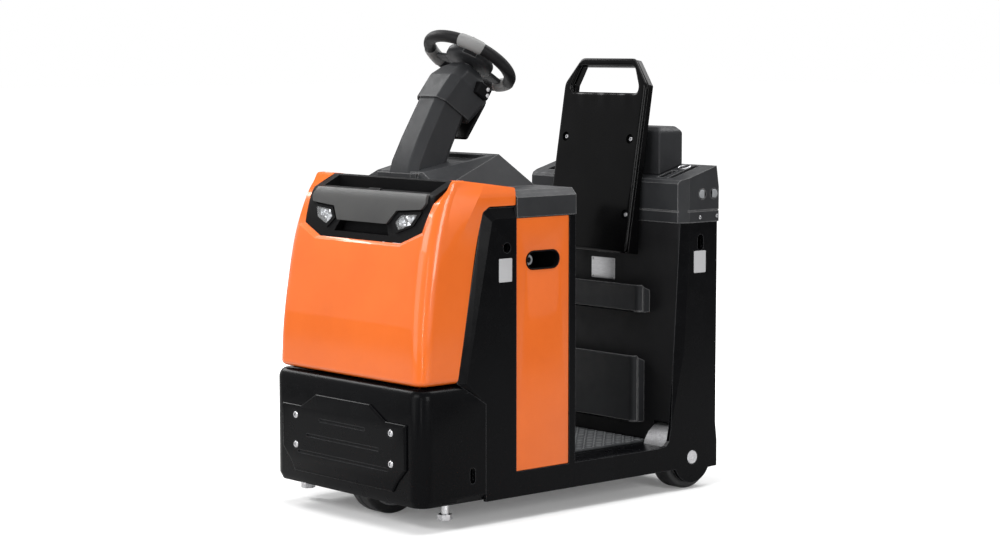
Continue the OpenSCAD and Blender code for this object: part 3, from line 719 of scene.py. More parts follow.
def make_hood_rim():
    """The bevel that leads from the hood's crest down to the fascia."""
    steps, end_steps = 12, 6
    outer = [(x, skin_y(x, z), z) for x, z in along(CREST, steps)]
    inner = [(x, skin_y(x, z) + FASCIA_IN, z) for x, z in along(FASCIA_EDGE[:3], steps)]
    top = (FASCIA_EDGE[3][0], FASCIA_BACK, FASCIA_EDGE[3][1])
    inner += along([inner[-1], top], steps)[1:] + [top] * end_steps
    end = (outer[-1][0], FASCIA_BACK, HOOD_Z - 1 * MM)
    outer += along([outer[-1], end], end_steps)[1:]
    path = list(zip(outer, inner))
    path = [((-a[0], *a[1:]), (-b[0], *b[1:])) for a, b in path[::-1]] + path
    back = Vector((0, 7 * MM, -3 * MM))
    bm = rings(bmesh.new(), [[Vector(a), Vector(b), Vector(b) + back, Vector(a) + back] for a, b in path])
    weld(bm)
    piece("hood_rim", bm, ORANGE, smooth=25)


def nose_patch(name, outline, front, back, mat, cell, replaces=()):
    """A slab that follows the nose between two depths, inside an outline; its cells are in millimetres."""
    pad = 2 * MM
    grid = []
    for values in zip(*outline):
        low, span = min(values), max(values) - min(values)
        count = max(int(span / (cell * MM)), 6)
        grid.append([low - pad + (span + 2 * pad) * k / count for k in range(count + 1)])
    bm = bmesh.new()
    sheets = []
    for depth in (front, back):
        sheet = [[bm.verts.new((x, depth(x, z), z)) for x in grid[0]] for z in grid[1]]
        sheets.append(sheet)
        for a, b in zip(sheet, sheet[1:]):
            for i in range(len(a) - 1):
                bm.faces.new((a[i], a[i + 1], b[i + 1], b[i]))
    rims = [s[0][:-1] + [r[-1] for r in s[:-1]] + s[-1][:0:-1] + [r[0] for r in s[:0:-1]] for s in sheets]
    for k in range(len(rims[0])):
        j = (k + 1) % len(rims[0])
        bm.faces.new((rims[0][k], rims[0][j], rims[1][j], rims[1][k]))
    made = piece(name, bm, mat, replaces=replaces)
    return cut(made, prism(outline, "y", AHEAD, WALL_Y), "INTERSECT")


def make_fascia():
    """The dark frame with its storage bin and lamp openings, the visor band across it and the bin's tab."""
    lip_z = HOOD_Z - 42 * MM
    rim_z = HOOD_Z - 4 * MM
    bin_x, bin_z = HALF - 100 * MM, HOOD_Z - 124 * MM
    bin_low, bin_high = BUMPER_Y + 126 * MM, BUMPER_Y + 182 * MM
    clear = 0.6 * MM

    def face(x, z):
        if z <= lip_z:
            return skin_y(x, z) + FASCIA_IN
        start = skin_y(x, lip_z) + FASCIA_IN
        return start + (FASCIA_BACK - 0.5 * MM - start) * min((z - lip_z) / (rim_z - lip_z), 1)

    edge = rounded(both_sides([(x - clear, z + clear) for x, z in FASCIA_EDGE]), 6)
    made = nose_patch("fascia_frame", edge, face, lambda x, z: FASCIA_BACK, TRIM, 5, ("fascia",))
    cut(made, brick((-bin_x, bin_low, bin_z), (bin_x, bin_high, HOOD_Z + 0.1)))
    slot = both_sides(front_view([(222, 162), (240, 131)]))
    cut(made, prism(slot, "y", AHEAD, BUMPER_Y + 100 * MM))
    for points in (LAMP_EDGE, mirror_points(LAMP_EDGE)):
        cut(made, prism(rounded(scaled(points, 1.16), 5), "y", AHEAD, BUMPER_Y + 112 * MM))
    settle(made)
    visor = both_sides(front_view([(234, 129), (204, 90), (96, 82), (84, 66), (94, 39)]))
    band = settle(nose_patch("fascia_visor", rounded(visor, 7), behind(3), behind(22), VISOR, 5))
    soften(band, 3, 3, 50)
    tab = [(x * MM, lip_z + z * MM) for x, z in ((-32, -4), (32, -4), (26, 9), (-26, 9))]
    settle(nose_patch("bin_tab", rounded(tab, 3), behind(12), behind(20), TRIM, 4))


def make_lamp(side, points):
    """A lamp: bezel, clear lens, ribbed reflector and two light cups."""
    name = "headlamp_" + side
    facets = 9 * MM

    def bowl(x, z):
        fold = abs((x / facets) % 2 - 1) + abs((z / facets) % 2 - 1)
        return skin_y(x, z) + 24 * MM + fold * 3 * MM

    pane = rounded(scaled(points, 0.84), 4)
    lens = settle(nose_patch(name + "_lens", pane, behind(10), behind(13), LENS, 4, (name,)))
    soften(lens, 0.8, 2, 50)
    frame_edge = rounded(scaled(points, 1.12), 5)
    bezel = nose_patch(name + "_bezel", frame_edge, behind(8), behind(30), TRIM, 4)
    cut(bezel, prism(rounded(scaled(points, 0.82), 4), "y", AHEAD, WALL_Y))
    settle(bezel)
    settle(nose_patch(name + "_reflector", scaled(points, 0.9), bowl, behind(34), CHROME, 3), 20)
    u, v = middle(points)
    sign = 1 if u > 0 else -1
    cups = bmesh.new()
    for k in (-1, 1):
        x, z = u + sign * k * 18 * MM, v + k * 5 * MM
        place = facing((x, skin_y(x, z) + 24 * MM, z), (0, -1, 0.1))
        turned(cups, mm((13, 0), (13, 6), (11.5, 7), (6, 2), (5, 3.5), (2, 5)), place, 24)
    piece(name + "_cups", cups, STEEL)


# Frame, covers and running gear that keep the shape of their node, with rounded edges

def make_refined():
    rows = [("dash_deck", PLASTIC, 3.5), ("floor_pan", SLATE, 1), ("rear_wall", SHEET, 1.2),
            ("rear_box", PLASTIC, 6), ("rear_panel", SLATE, 1.2),
            ("backrest_shell", GLOSS, 3), ("tow_jaw", SLATE, 2), ("drive_bridge", SLATE, 1.5)]
    for side, _ in SIDES:
        rows += [("side_plate_" + side, SLATE, 2), ("wheel_box_" + side, CAST, 0.8),
                 ("jack_bolt_" + side, STEEL, 1.2), ("rear_axle_" + side, STEEL, 0.8)]
    for node, mat, width in rows:
        refine(node, mat, width)
    refine("drive_motor", DRIVE, 2, "drive_unit")
    refine("drive_gearbox", DRIVE, 3, "drive_unit", shortest=0.0)


# Frame

PLATE_SCREWS = [(sign * (HALF - 124 * MM), BUMPER_Z - depth * MM) for sign in BOTH for depth in (139, 228)]


def make_bumper():
    """The bumper with a rounded lip under the hood."""
    bm = node_copy("front_bumper")
    made = piece("front_bumper_skin", bm, SLATE, replaces=("front_bumper",), smooth=180)
    rear_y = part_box("front_bumper")[1].y + 5 * MM
    grown, corner = 1 * MM, 48 * MM
    below, lip_z, lip_rise, lip_in = 40, 384, 29, 24
    wide = HALF + grown
    loops = [nose_loop((wide, BUMPER_Y - grown, corner + grown, z * MM, wide), 0, rear_y, 0)
             for z in (below, lip_z - 2)]
    for k in range(11):
        a = radians(2 + 8.8 * k)
        z, inset = lip_z + lip_rise * sin(a), lip_in * (1 - cos(a))
        loops.append(nose_loop((HALF, BUMPER_Y, corner, z * MM, HALF), inset * MM, rear_y, 0))
    cut(made, rings(bmesh.new(), loops), "INTERSECT")
    soften(settle(made, 20), 2, 3, 40, 3.5)


def make_bumper_plate():
    """Plate with bevelled edges, three pressed grooves and screw recesses."""
    low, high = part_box("bumper_plate")
    rim = [(222, 67), (150, 108), (57, 108), (57, 239), (97, 279), (117, 308)]
    outline = both_sides([(HALF - a * MM, BUMPER_Z - d * MM) for a, d in rim])
    sunk, front = 6 * MM, low.y - 5 * MM
    bm = slab([rounded(outline, 4)], high.y - low.y + sunk, 6 * MM, 4)
    bm.transform(on_wall((low.y + high.y + sunk) / 2))
    made = piece("bumper_plate_skin", bm, SLATE, replaces=("bumper_plate",))
    for depth, inset in ((142, 246), (193, 182), (246, 139)):
        groove = stadium(0, BUMPER_Z - depth * MM, HALF - inset * MM, 4.5 * MM, 8)
        cut(made, prism(groove, "y", front, low.y + 3 * MM))
    for x, z in PLATE_SCREWS:
        cut(made, prism(circle(x, z, 13 * MM), "y", front, low.y + 4 * MM))
    settle(made, 30)


def make_screws():
    """Screw heads on the bumper plate and the rear panel."""
    low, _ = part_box("bumper_plate")
    bm = bmesh.new()
    for x, z in PLATE_SCREWS:
        cap_screw(bm, (x, low.y + 4.2 * MM, z), (0, -1, 0), 10.5, 5)
    piece("bumper_plate_screws", bm, STEEL)
    bm = bmesh.new()
    for sign in BOTH:
        for k in range(4):
            cap_screw(bm, (sign * (INNER - 24 * MM), REAR_Y, (300 + 155 * k) * MM), (0, 1, 0), 8, 6)
        for x, z in mm((55, 200), (66, 350)):
            cap_screw(bm, (sign * x, REAR_Y + 12 * MM, z), (0, 1, 0), 9, 8)
    piece("rear_panel_screws", bm, STEEL)


def make_bulkhead():
    """Sheet between the dash and the step, with a pressed field and screws along its edges."""
    low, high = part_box("front_bulkhead")
    bm = prism(oblong(low.x, low.z, high.x, high.z), "y", low.y, high.y)
    made = piece("front_bulkhead_sheet", bm, SHEET, replaces=("front_bulkhead",))
    margin = 70 * MM
    field = oblong(low.x + margin, low.z + 60 * MM, high.x - margin, high.z - margin)
    cut(made, prism(rounded(field, 30), "y", high.y - 2 * MM, high.y + 10 * MM))
    soften(settle(made), 0.8, 2)
    bm = bmesh.new()
    for sign in BOTH:
        for k in range(5):
            spot = (sign * (high.x - 30 * MM), high.y, low.z + (70 + 145 * k) * MM)
            cap_screw(bm, spot, (0, 1, 0), 7, 5)
    piece("front_bulkhead_screws", bm, STEEL)


def make_battery():
    """Closed battery case with a lid and two terminals."""
    low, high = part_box("battery")
    inset, lid_z = 4 * MM, high.z - 22 * MM
    bm = brick(low, (high.x, high.y, lid_z))
    add(bm, brick((low.x + inset, low.y + inset, lid_z), (high.x - inset, high.y - inset, high.z - 6 * MM)))
    for sign in BOTH:
        place = Matrix.Translation((sign * 90 * MM, (low.y + high.y) / 2, high.z - 7 * MM))
        turned(bm, mm((16, 0), (16, 4), (9, 5), (8, 7), (2, 7)), place, 24)
    soften(piece("battery_case", bm, BATTERY, replaces=("battery",)), 3)


def make_side_panels():
    """Orange panels with an edge trim in the hand slot and a round fitting at the slot's front end."""
    low, high = PANEL_LOW, PANEL_HIGH
    y, z = (low.y + high.y) / 2, high.z - 125 * MM
    reach, radius = 38 * MM, 28 * MM
    edge = rounded(oblong(low.y, low.z, high.y, high.z), 5)
    slot, trim, hollow = (stadium(y, z, reach, radius - inset * MM, 16) for inset in (0, 0.3, 4))
    place = facing((low.x - 14 * MM, y - 40 * MM, z), (1, 0, 0))
    for side, sign in SIDES:
        name = "side_panel_" + side
        bm = slab([edge, slot], high.x - low.x, 2.2 * MM)
        bm.transform(on_flank((low.x + high.x) / 2))
        piece(name + "_skin", to_side(bm, sign), ORANGE, replaces=(name,))
        bm = slab([trim, hollow], 22 * MM, 1.5 * MM)
        bm.transform(on_flank(low.x + 1 * MM))
        piece(name + "_liner", to_side(bm, sign), TRIM)
        bm = turned(bmesh.new(), mm((17, -4), (17, 4), (15, 6), (9, 6), (8, 3)), place, 32)
        piece(name + "_fitting", to_side(bm, sign), CAST)
        bm = turned(bmesh.new(), mm((7, 2), (7, 6), (5, 7.5), (1, 7.5)), place, 24)
        piece(name + "_knob", to_side(bm, sign), TRIM)


# Rear cover: its top rises this far over this run, both in millimetres

COVER_RISE, COVER_RUN = 47, 166


def cover_top(y):
    """Height of the cover's sloping top, at a distance behind the rear wall's face in millimetres."""
    return DECK_Z + COVER_RISE * MM * y / COVER_RUN


def make_rear_cover():
    """The cover: a groove above its lower band, cut front corners, a leaning back and two slots on top."""
    made = piece("rear_cover_skin", node_copy("rear_cover"), PLASTIC, replaces=("rear_cover",), smooth=180)
    seam_low, seam_high = 866 * MM, 869.5 * MM
    past = 10 * MM
    wide = HALF + past
    cut(made, brick((-wide, WALL_Y - past, seam_low), (wide, WALL_Y + 3 * MM, seam_high)))
    corner = [(HALF + x * MM, WALL_Y + y * MM) for x, y in ((-16, -5), (5, -5), (5, 47), (-16, -0.2))]
    for sign in BOTH:
        xs = sorted((sign * (HALF - 3 * MM), sign * wide))
        cut(made, brick((xs[0], WALL_Y - past, seam_low), (xs[1], REAR_Y + past, seam_high)))
        cut(made, to_side(prism(corner, "z", REAR_TOP - 5 * MM, HOOD_Z + 100 * MM), sign))
    lean, top = 11 * MM, DECK_Z + COVER_RISE * MM
    above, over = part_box("inch_buttons_left")[1].z + 4 * MM, top + 60 * MM
    back = [(REAR_Y, above), (REAR_Y - lean, top), (REAR_Y - lean, over), (REAR_Y + past, over),
            (REAR_Y + past, above)]
    cut(made, prism(back, "x", -wide, wide))
    # Thin dark sheets on the slots' floors are painted shade, standing for the shadow down in the slots.
    slot_shade_sheets = bmesh.new()
    for x0, x1, y1 in ((132, 106, 92), (87, 63, 146)):
        across = (HALF - x0 * MM, HALF - x1 * MM)
        ends = [(WALL_Y + y * MM, cover_top(y) - 13 * MM) for y in (26, y1)]
        slot, floor = (ends + [(y, z + height * MM) for y, z in ends[::-1]] for height in (80, 1.5))
        cut(made, prism(slot, "x", *across))
        add(slot_shade_sheets, prism(floor, "x", *across))
    piece("rear_cover_slot_shade_sheets", slot_shade_sheets, TRIM)
    soften(settle(made, 11), 3, 3, 11, 3.5)


def make_cover_details():
    """Inching buttons in their cups, flank screws, the ring round the cup holder and blank labels."""
    for side, sign in SIDES:
        low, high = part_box("inch_buttons_" + side)
        z = (low.z + high.z) / 2
        r = (high.z - low.z) / 2
        caps, cups, screws = bmesh.new(), bmesh.new(), bmesh.new()
        for y, flat in ((low.y + r, 1), (high.y - r, -1)):
            outline = [(y + flat * min(flat * u, 8 * MM), v) for u, v in circle(0, z, r - 2 * MM, 40)]
            add(caps, slab([outline], 8 * MM, 2.5 * MM), on_flank(HALF - 1 * MM))
            add(cups, slab([circle(y, z, r, 40)], 5 * MM, 0.6 * MM), on_flank(HALF - 3 * MM))
        piece("inch_buttons_%s_caps" % side, to_side(caps, sign), BUTTON, replaces=("inch_buttons_" + side,))
        piece("inch_buttons_%s_cups" % side, to_side(cups, sign), TRIM)
        for y, height in mm((477, 847), (552, 849)):
            cap_screw(screws, (sign * HALF, y, height), (sign, 0, 0), 5.5, 3)
        piece("rear_cover_screws_" + side, screws, STEEL)
    cup_y = 126
    slope = atan2(COVER_RISE, COVER_RUN)
    spot = (HALF - 112 * MM, WALL_Y + cup_y * MM, cover_top(cup_y))
    place = facing(spot, (0, -sin(slope), cos(slope)))
    profile = mm((17.6, -3), (17.8, 1), (19, 2.2), (21, 2.2), (22.4, 1), (22.6, -3))
    piece("cover_cup_ring", turned(bmesh.new(), profile, place, 48, True), STEEL)
    labels = bmesh.new()
    for corners in mm((-349, 700, -299, 768), (452, 676, 504, 744)):
        add(labels, slab([rounded(oblong(*corners), 4)], 0.8 * MM, 0.25 * MM), on_flank(HALF + 0.3 * MM))
    piece("flank_labels", labels, LABEL)


# Steering column

def section(place, w, t0, t1, c):
    """A chamfered section of the column, from t0 before its axis to t1 behind it, in millimetres."""
    outline = mm((-w + c, -t0), (w - c, -t0), (w, -t0 + c), (w, t1 - c), (w - c, t1), (c - w, t1),
                 (-w, t1 - c), (-w, c - t0))
    return [place @ Vector((u, v, 0)) for u, v in outline]


def make_column():
    """Steering column: a bent lower part, and a head that laps over it and carries a pod with two buttons."""
    chamfer = 22
    loops = []
    rows = [(-334, -10, 0, 64, 64, 72), (-332, 10, 4, 64, 64, 72), (-317, 60, 16, 63, 64, 70),
            (-287, 120, 26, 61, 62, 67), (-222, 234, 34, 58, 60, 64)]
    for y, z, lean, *size in rows:
        place = tilted(STEP_Y + y * MM, DECK_Z + z * MM, -radians(lean))
        loops.append(section(place, *size, chamfer))
    lower = rings(bmesh.new(), loops)
    soften(piece("column_lower_shell", lower, PLASTIC, replaces=("column_lower",)), 4, 4, 22)
    joint = tilted(STEP_Y - 226 * MM, DECK_Z + 228 * MM, -WHEEL_LEAN)
    levels = [section(joint @ raised(4), 58, 58, 76, 18), section(joint, 65, 65, 83, 20),
              section(HEAD @ raised(-22), 70, 72, 92, 22), section(HEAD @ raised(16), 60, 56, 78, 26),
              section(HEAD @ raised(45), 40, 34, 44, 18)]
    upper = rings(bmesh.new(), levels)
    soften(piece("column_head_shell", upper, PLASTIC, replaces=("column_head",)), 4, 4, 14)
    pod = brick(*mm((50, 12, -30), (86, 64, 10)))
    pod.transform(HEAD)
    soften(piece("switch_pod", pod, TRIM), 6, 4)
    dots = bmesh.new()
    for spot in mm((86, 46, 0), (86, 54, -16)):
        place = facing(HEAD @ Vector(spot), HEAD.to_3x3() @ Vector((1, 0, 0)))
        turned(dots, mm((6, -2), (6, 1.5), (4.5, 2.6), (1, 2.8)), place, 20)
    piece("switch_pod_buttons", dots, LABEL)
    cap = slab([rounded(mm((-46, -150), (46, -150), (50, -20), (-50, -20)), 10)], 12 * MM, 4 * MM)
    cap.transform(HEAD @ on_wall(86 * MM))
    piece("column_head_back", cap, TRIM)


# Wheels

def wheel_frame(node):
    """A frame at the wheel's centre, local Z along the axle, with its radius and width in millimetres."""
    low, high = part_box(node)
    return facing((low + high) / 2, (1, 0, 0)), (high.z - low.z) / 2 / MM, (high.x - low.x) / MM


def make_tyre(node, body):
    """A tyre with rounded shoulders and a groove round its middle."""
    place, r, width = wheel_frame(node)
    w = width / 2
    rim = r - (24 if node == "drive_tyre" else 22)
    half = mm((rim, w), (r - 9, w), (r - 4, w - 1.6), (r - 1.2, w - 4.5), (r, w - 9), (r, 8), (r - 1.5, 6.5))
    profile = [(a, -h) for a, h in half] + half[::-1]
    bm = turned(bmesh.new(), profile, place, 60, True)
    piece(node + "_tread", bm, TYRE, body, (node,))


def bolt_ring(name, body, place, out, count, reach, height, radius):
    """Bolt heads round a hub at a reach from its axle; lengths in millimetres."""
    bolts = bmesh.new()
    for a in turns(count):
        spot = place @ Vector((reach * MM * cos(a), reach * MM * sin(a), height * MM))
        hex_head(bolts, spot, (out, 0, 0), radius, radius - 1)
    piece(name, bolts, STEEL, body)


def make_rear_hub(side, sign):
    """A turned hub with six bolts on its outer face."""
    node, body = "rear_hub_" + side, "rear_wheel_" + side
    place, _, _ = wheel_frame("rear_tyre_" + side)
    _, r, _ = wheel_frame(node)
    place = place if sign > 0 else place @ Matrix.Rotation(pi, 4, "X")
    profile = mm((12.3, -32), (34, -32), (40, -20), (r - 11.7, -20), (r - 7.7, -30), (r, -30), (r, 30),
                 (r - 7.7, 30), (r - 11.7, 18), (40, 18), (34, 28), (12.3, 28))
    bm = turned(bmesh.new(), profile, place, 56, True)
    soften(piece(node + "_turned", bm, CAST, body, (node,)), 1.2, 2)
    bolt_ring(node + "_bolts", body, place, sign, 6, 53, 18, 7)


def make_drive_hub():
    """A turned hub with a blind bore and seven bolts on its right face."""
    place, _, width = wheel_frame("drive_tyre")
    _, r, _ = wheel_frame("drive_hub")
    w = width / 2 - 2
    web = w - 14
    profile = mm((22.3, -20), (22.3, w), (40, w), (44, web), (r - 9.7, web), (r - 5.7, w), (r, w), (r, -w),
                 (r - 7.7, -w), (r - 13.7, -web), (44, -web), (38, -w), (1, -w), (1, -25), (18, -25))
    bm = turned(bmesh.new(), profile, place, 56, True)
    soften(piece("drive_hub_turned", bm, CAST, "drive_wheel", ("drive_hub",)), 1.2, 2)
    bolt_ring("drive_hub_bolts", "drive_wheel", place, -1, 7, 60, -web, 8)


# Steering wheel

SPOKES = [radians(a) for a in (-44, -164, 76)]
RIM_R = 133 * MM
TUBE_R = 18 * MM


def tube_loop(angle, radius):
    """A ring round the rim's tube, at an angle round the wheel."""
    out = []
    for a in turns(22):
        reach = RIM_R + radius * cos(a)
        out.append(WHEEL @ Vector((reach * cos(angle), reach * sin(angle), radius * sin(a))))
    return out


def make_steering_rim():
    """Foam rim with a clamp and a screw at each spoke."""
    bm = rings(bmesh.new(), [tube_loop(a, TUBE_R) for a in turns(108)], cyclic=True)
    piece("steering_rim_foam", bm, FOAM, "steering_wheel", ("steering_rim",))
    clamps = bmesh.new()
    half_span = radians(16)
    fade_from = 0.86
    for spoke in SPOKES:
        loops = []
        for k in range(15):
            t = k / 7 - 1
            edge = max(abs(t) - fade_from, 0) / (1 - fade_from)
            loops.append(tube_loop(spoke + half_span * t, TUBE_R + (2.2 - 1.6 * edge**2) * MM))
        rings(clamps, loops)
        spot = WHEEL @ Vector((RIM_R * cos(spoke), RIM_R * sin(spoke), TUBE_R + 1 * MM))
        cap_screw(clamps, spot, WHEEL.to_3x3() @ Vector((0, 0, 1)), 4.5, 2.5)
    piece("steering_rim_clamps", clamps, CLAMP, "steering_wheel")


def make_steering_hub():
    """Round pad with a ringed cap, and three flat spokes."""
    profile = mm((14, -25), (14, -17), (30, -16), (58, -15), (70, -12), (74, -7), (74, 8), (72.5, 12),
                 (68, 15), (60, 17.5), (50, 18.2), (37, 18.4), (36, 17), (34.5, 17), (33.5, 18.6), (20, 19.4),
                 (1, 19.6))
    bm = turned(bmesh.new(), profile, WHEEL, 64)
    arm = rounded(mm((60, -22), (115, -15), (115, 15), (60, 22)), 3)
    for spoke in SPOKES:
        add(bm, slab([arm], 11 * MM, 2 * MM), WHEEL @ Matrix.Rotation(spoke, 4, "Z") @ raised(-4))
    piece("steering_hub_pad", bm, PLASTIC, "steering_wheel", ("steering_hub",))


# Backrest

BACK_W, BACK_H, PAD_T = 186 * MM, 613 * MM, 18 * MM
PAD_SCREWS = [(sign * u, v) for u, v in mm((165, 122), (146, 358)) for sign in BOTH]
SCREW_Z = -9 * MM


def swell(spot):
    """How far the pad's front stands out at a spot: a slight crown, and puckers under the grip."""
    crown = (1 - (spot.x / BACK_W)**2) * max(1 - ((spot.y - 250 * MM) / (280 * MM))**2, 0)
    near = exp(-((spot.y - BACK_H + 125 * MM) / (34 * MM))**2)
    pucker = sin(spot.x * 74 + 0.6) + 0.6 * sin(spot.x * 131 + spot.y * 40)
    return 2.6 * MM * crown + 0.45 * MM * near * pucker


def make_backrest_pad():
    """Soft pad with rolled edges: remeshed evenly, smoothed, swollen, and cut for its screws."""
    shoulder_x, shoulder_z = BACK_W - 65 * MM, BACK_H - 83 * MM
    edge = [(-BACK_W, 0), (BACK_W, 0), (BACK_W, shoulder_z), (shoulder_x, BACK_H), (-shoulder_x, BACK_H),
            (-BACK_W, shoulder_z)]
    grip = [(x * MM, BACK_H - z * MM) for x, z in ((-150, 109), (150, 109), (150, 88), (123, 27), (-123, 27),
                                                   (-150, 88))]
    bm = slab([rounded(edge, 22), rounded(grip, 16)], PAD_T, 7 * MM)
    bm.transform(Matrix.Translation((0, 0, -PAD_T / 2)))
    made = piece("backrest_pad_skin", bm, GLOSS, replaces=("backrest_pad",))
    grid = made.modifiers.new("even", "REMESH")
    grid.mode = "VOXEL"
    grid.voxel_size = 3 * MM
    even = applied(made)
    made.modifiers.remove(grid)
    bm = bmesh.new()
    bm.from_mesh(even)
    bpy.data.meshes.remove(even)
    for _ in range(16):
        bmesh.ops.smooth_vert(bm, verts=bm.verts, factor=0.5, use_axis_x=True, use_axis_y=True,
                               use_axis_z=True)
    for vert in bm.verts:
        if vert.co.z > -PAD_T / 2:
            vert.co.z += swell(vert.co)
    bm.to_mesh(made.data)
    bm.free()
    for u, v in PAD_SCREWS:
        cut(made, prism(circle(u, v, 15 * MM, 40), "z", SCREW_Z, 20 * MM))
    settle(made, 60)
    made.data.transform(BACK)


def make_backrest_screws():
    """A washer and a screw in each of the pad's recesses."""
    washers, screws = bmesh.new(), bmesh.new()
    out = BACK.to_3x3() @ Vector((0, 0, 1))
    for u, v in PAD_SCREWS:
        place = BACK @ Matrix.Translation((u, v, SCREW_Z))
        turned(washers, mm((13.5, -1), (13.5, 1.5), (12.5, 2.2), (7, 2.2)), place, 32)
        cap_screw(screws, place @ Vector((0, 0, 2 * MM)), out, 7, 4)
    piece("backrest_pad_washers", washers, TRIM)
    piece("backrest_pad_screws", screws, STEEL)


# Standing space

def make_pockets():
    """Pockets on the rear wall: a curved sheet with a rolled lip that dips at its ends, on a floor."""
    low_box, high_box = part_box("rear_pockets")
    wall, front = 4 * MM, WALL_Y - 40 * MM
    dip, dip_from = 16 * MM, 0.72
    steps = 10
    rows = [(low_box.z, low_box.z + 210 * MM, HALF - 160 * MM),
            (high_box.z - 86 * MM, high_box.z, HALF - 138 * MM)]
    bm = bmesh.new()
    for z0, z1, w in rows:
        corners = [(w, WALL_Y), (w - 6 * MM, front), (6 * MM - w, front), (-w, WALL_Y)]
        bends = rounded(corners, 30, steps)[steps + 1:-steps - 1]
        path = along([corners[0], *(tuple(p) for p in bends), corners[-1]], 3)
        last = len(path) - 1
        sections = []
        for k, (x, y) in enumerate(path):
            way = (Vector(path[min(k + 1, last)]) - Vector(path[max(k - 1, 0)])).normalized()
            out = Vector((way.y, -way.x))
            if out.y > 0.2:
                out = -out
            share = abs(k / last * 2 - 1)
            top = z1 - dip * (max(share - dip_from, 0) / (1 - dip_from))**2
            lip = [(d * MM, top - drop * MM) for d, drop in ((0, 14), (2.5, 9), (3.5, 4), (2.4, 0.6), (0, 0))]
            profile = [(0, z0), *lip, (-wall, top - 1 * MM), (-wall, z0)]
            sections.append([(x + out.x * d, min(y + out.y * d, WALL_Y), z) for d, z in profile])
        rings(bm, sections)
        add(bm, prism(path, "z", z0, z0 + wall))
    weld(bm)
    piece("rear_pockets_moulding", bm, PLASTIC, replaces=("rear_pockets",))


def make_mat():
    """Rubber mat with rounded corners and rows of raised lozenges."""
    low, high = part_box("floor_mat")
    bm = slab([rounded(oblong(low.x, low.y, high.x, high.y), 12)], high.z - low.z, 1.6 * MM)
    bm.transform(Matrix.Translation((0, 0, (low.z + high.z) / 2)))
    piece("floor_mat_sheet", bm, MAT, replaces=("floor_mat",))
    pitch, margin = 21 * MM, 20 * MM
    columns, lines = (int((span - margin) / pitch) for span in (high.x - low.x, high.y - low.y))
    lozenge = ((1, 0), (0.45, 0.8), (-0.45, 0.8), (-1, 0), (-0.45, -0.8), (0.45, -0.8))
    levels = mm((-0.5, 10.5, 4.2), (0.6, 10.2, 4.0), (1.7, 7.6, 2.2))
    studs = bmesh.new()
    for i in range(columns + 1):
        for j in range(lines + 1):
            x = (i - columns / 2) * pitch
            y = (low.y + high.y) / 2 + (j - lines / 2) * pitch
            turn = Matrix.Rotation(radians(45 if (i + j) % 2 else -45), 4, "Z")
            place = Matrix.Translation((x, y, high.z)) @ turn
            rings(studs, [[place @ Vector((u * a, v * b, h)) for u, v in lozenge] for h, a, b in levels])
    piece("floor_mat_studs", studs, STUD)


def make_nameplate():
    """A blank plate with four rivets."""
    low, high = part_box("nameplate")
    bm = slab([rounded(oblong(low.x, low.z, high.x, high.z), 4)], high.y - low.y, 0.6 * MM)
    bm.transform(on_wall((low.y + high.y) / 2))
    piece("nameplate_face", bm, BRUSHED, replaces=("nameplate",))
    inset = 7 * MM
    rivets = bmesh.new()
    for x in (low.x + inset, high.x - inset):
        for z in (low.z + inset, high.z - inset):
            place = facing((x, low.y, z), (0, -1, 0))
            turned(rivets, mm((3, -0.5), (2.8, 0.6), (2, 1.3), (0.5, 1.6)), place, 16)
    piece("nameplate_rivets", rivets, STEEL)


make_hood()
make_hood_arms()
make_hood_rim()
make_fascia()
make_lamp("left", LAMP_EDGE)
make_lamp("right", mirror_points(LAMP_EDGE))
make_refined()
make_bumper()
make_bumper_plate()
make_screws()
make_rear_cover()
make_column()
make_bulkhead()
make_battery()
make_side_panels()
make_tyre("drive_tyre", "drive_wheel")
make_drive_hub()
for wheel_side, wheel_sign in SIDES:
    make_tyre("rear_tyre_" + wheel_side, "rear_wheel_" + wheel_side)
    make_rear_hub(wheel_side, wheel_sign)
make_steering_rim()
make_steering_hub()
make_backrest_pad()
make_backrest_screws()
make_pockets()
make_mat()
make_nameplate()
make_cover_details()


# Stage

def plain_view(nodes, links):
    """One for rays from the camera and for those that gloss or glass sends on, nought for the rest."""
    path = nodes.new("ShaderNodeLightPath")
    found = path.outputs["Is Camera Ray"]
    for ray in ("Is Glossy Ray", "Is Transmission Ray"):
        most = nodes.new("ShaderNodeMath")
        most.operation = "MAXIMUM"
        links.new(found, most.inputs[0])
        links.new(path.outputs[ray], most.inputs[1])
        found = most.outputs["Value"]
    return found


def make_floor():
    """White floor: pale in plain view, dim in the light it throws back, glowing far off for the camera."""
    f = Finish("floor")
    pale = f.colours(f.spread(f.noise(3.0), 0, 1), (0.90, 0.90, 0.90), (0.92, 0.92, 0.92), None)
    seen = f.colours(plain_view(f.tree.nodes, f.tree.links), (0.24, 0.24, 0.24), (1, 1, 1), None)
    shown = f.add("ShaderNodeMix", {0: 1.0}, data_type="RGBA", blend_type="MULTIPLY")
    f.link(pale, shown.inputs[6])
    f.link(seen, shown.inputs[7])
    f.link(shown.outputs[2], f.shader.inputs["Base Color"])
    far = f.add("ShaderNodeVectorMath", operation="LENGTH")
    f.link(f.coords, far.inputs[0])
    glow = f.spread(far.outputs["Value"], 0.12, 0.90, 1.0, 3.0)
    path = f.add("ShaderNodeLightPath")
    f.link(f.times(glow, path.outputs["Is Camera Ray"]), f.shader.inputs["Emission Strength"])
    f.plain(Roughness=0.9, Specular_IOR_Level=0.0, Emission_Color=(1, 1, 1, 1))
    size = 60
    mesh = bpy.data.meshes.new("floor")
    mesh.from_pydata([(x, y, 0) for x, y in oblong(-size, -size, size, size)], [], [(0, 1, 2, 3)])
    mesh.materials.append(f.mat)
    return show("floor", mesh)


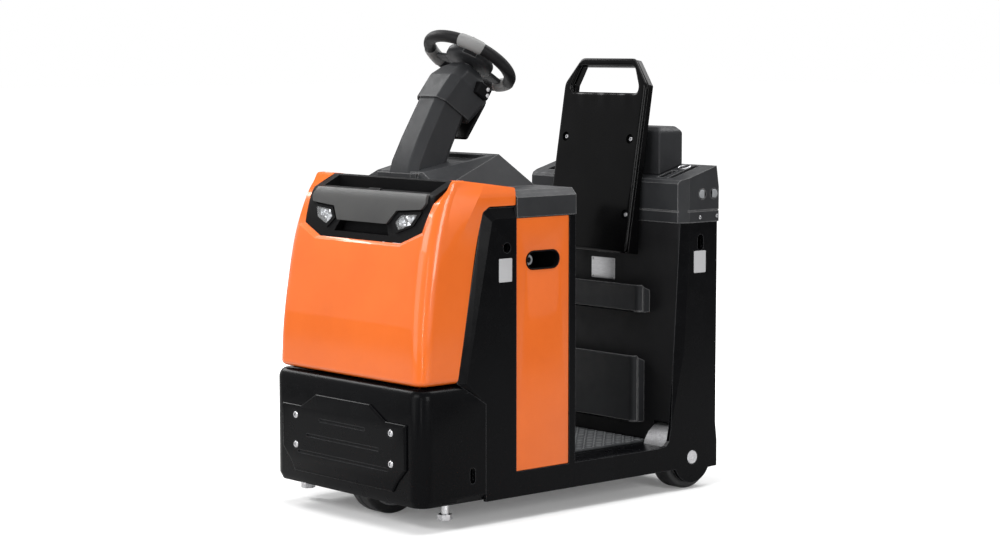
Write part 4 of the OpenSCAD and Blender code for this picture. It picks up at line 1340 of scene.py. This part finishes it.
def area_light(name, spot, target, size, energy):
    data = bpy.data.lights.new(name, "AREA")
    data.shape = "RECTANGLE"
    data.size, data.size_y = size
    data.energy = energy
    made = show(name, data)
    made.location = spot
    made.rotation_euler = (Vector(target) - Vector(spot)).to_track_quat("-Z", "Y").to_euler()
    return made


def make_world():
    """White in plain view, softer for the light it gives."""
    world = bpy.data.worlds.new("studio")
    world.use_nodes = True
    nodes, links = world.node_tree.nodes, world.node_tree.links
    nodes.clear()
    mix = nodes.new("ShaderNodeMixShader")
    links.new(plain_view(nodes, links), mix.inputs[0])
    for place, strength in ((1, 0.2), (2, 1.0)):
        shade = nodes.new("ShaderNodeBackground")
        shade.inputs["Color"].default_value = (1, 1, 1, 1)
        shade.inputs["Strength"].default_value = strength
        links.new(shade.outputs[0], mix.inputs[place])
    links.new(mix.outputs[0], nodes.new("ShaderNodeOutputWorld").inputs["Surface"])
    bpy.context.scene.world = world


def make_camera():
    """The camera that was solved from the photo's parallel edges."""
    turn, dip = 0.8501, 0.1005
    data = bpy.data.cameras.new("camera")
    data.sensor_fit = "HORIZONTAL"
    data.sensor_width = 36
    data.lens = 84.03
    made = show("camera", data)
    made.location = (5.3484, -4.7351, 1.3784)
    made.rotation_euler = (pi / 2 - dip, 0, turn)
    bpy.context.scene.camera = made


make_floor()
area_light("key", (0.6, -5.6, 3.6), (0, 0, 0.6), (3.5, 2.5), 236)
area_light("front", (-0.5, -6.2, 1.3), (0, 0, 0.6), (3.2, 2.2), 60)
area_light("top", (0, 0.4, 4.8), (0, 0, 0), (3.5, 3.5), 120)
area_light("side", (5.8, -0.7, 2.1), (0, 0, 0.6), (1.6, 2.2), 150)
area_light("right", (-4.9, -0.9, 4.0), (0, 0, 0.5), (2.5, 2.2), 200)
area_light("rear", (0.8, 4.0, 5.2), (0, 0, 0.5), (3, 2.2), 180)
area_light("strip", (4.9, -5.2, 1.1), (0.3, -0.5, 0.7), (0.08, 2.4), 40)
make_world()
make_camera()
bpy.context.scene.view_settings.view_transform = "Standard"
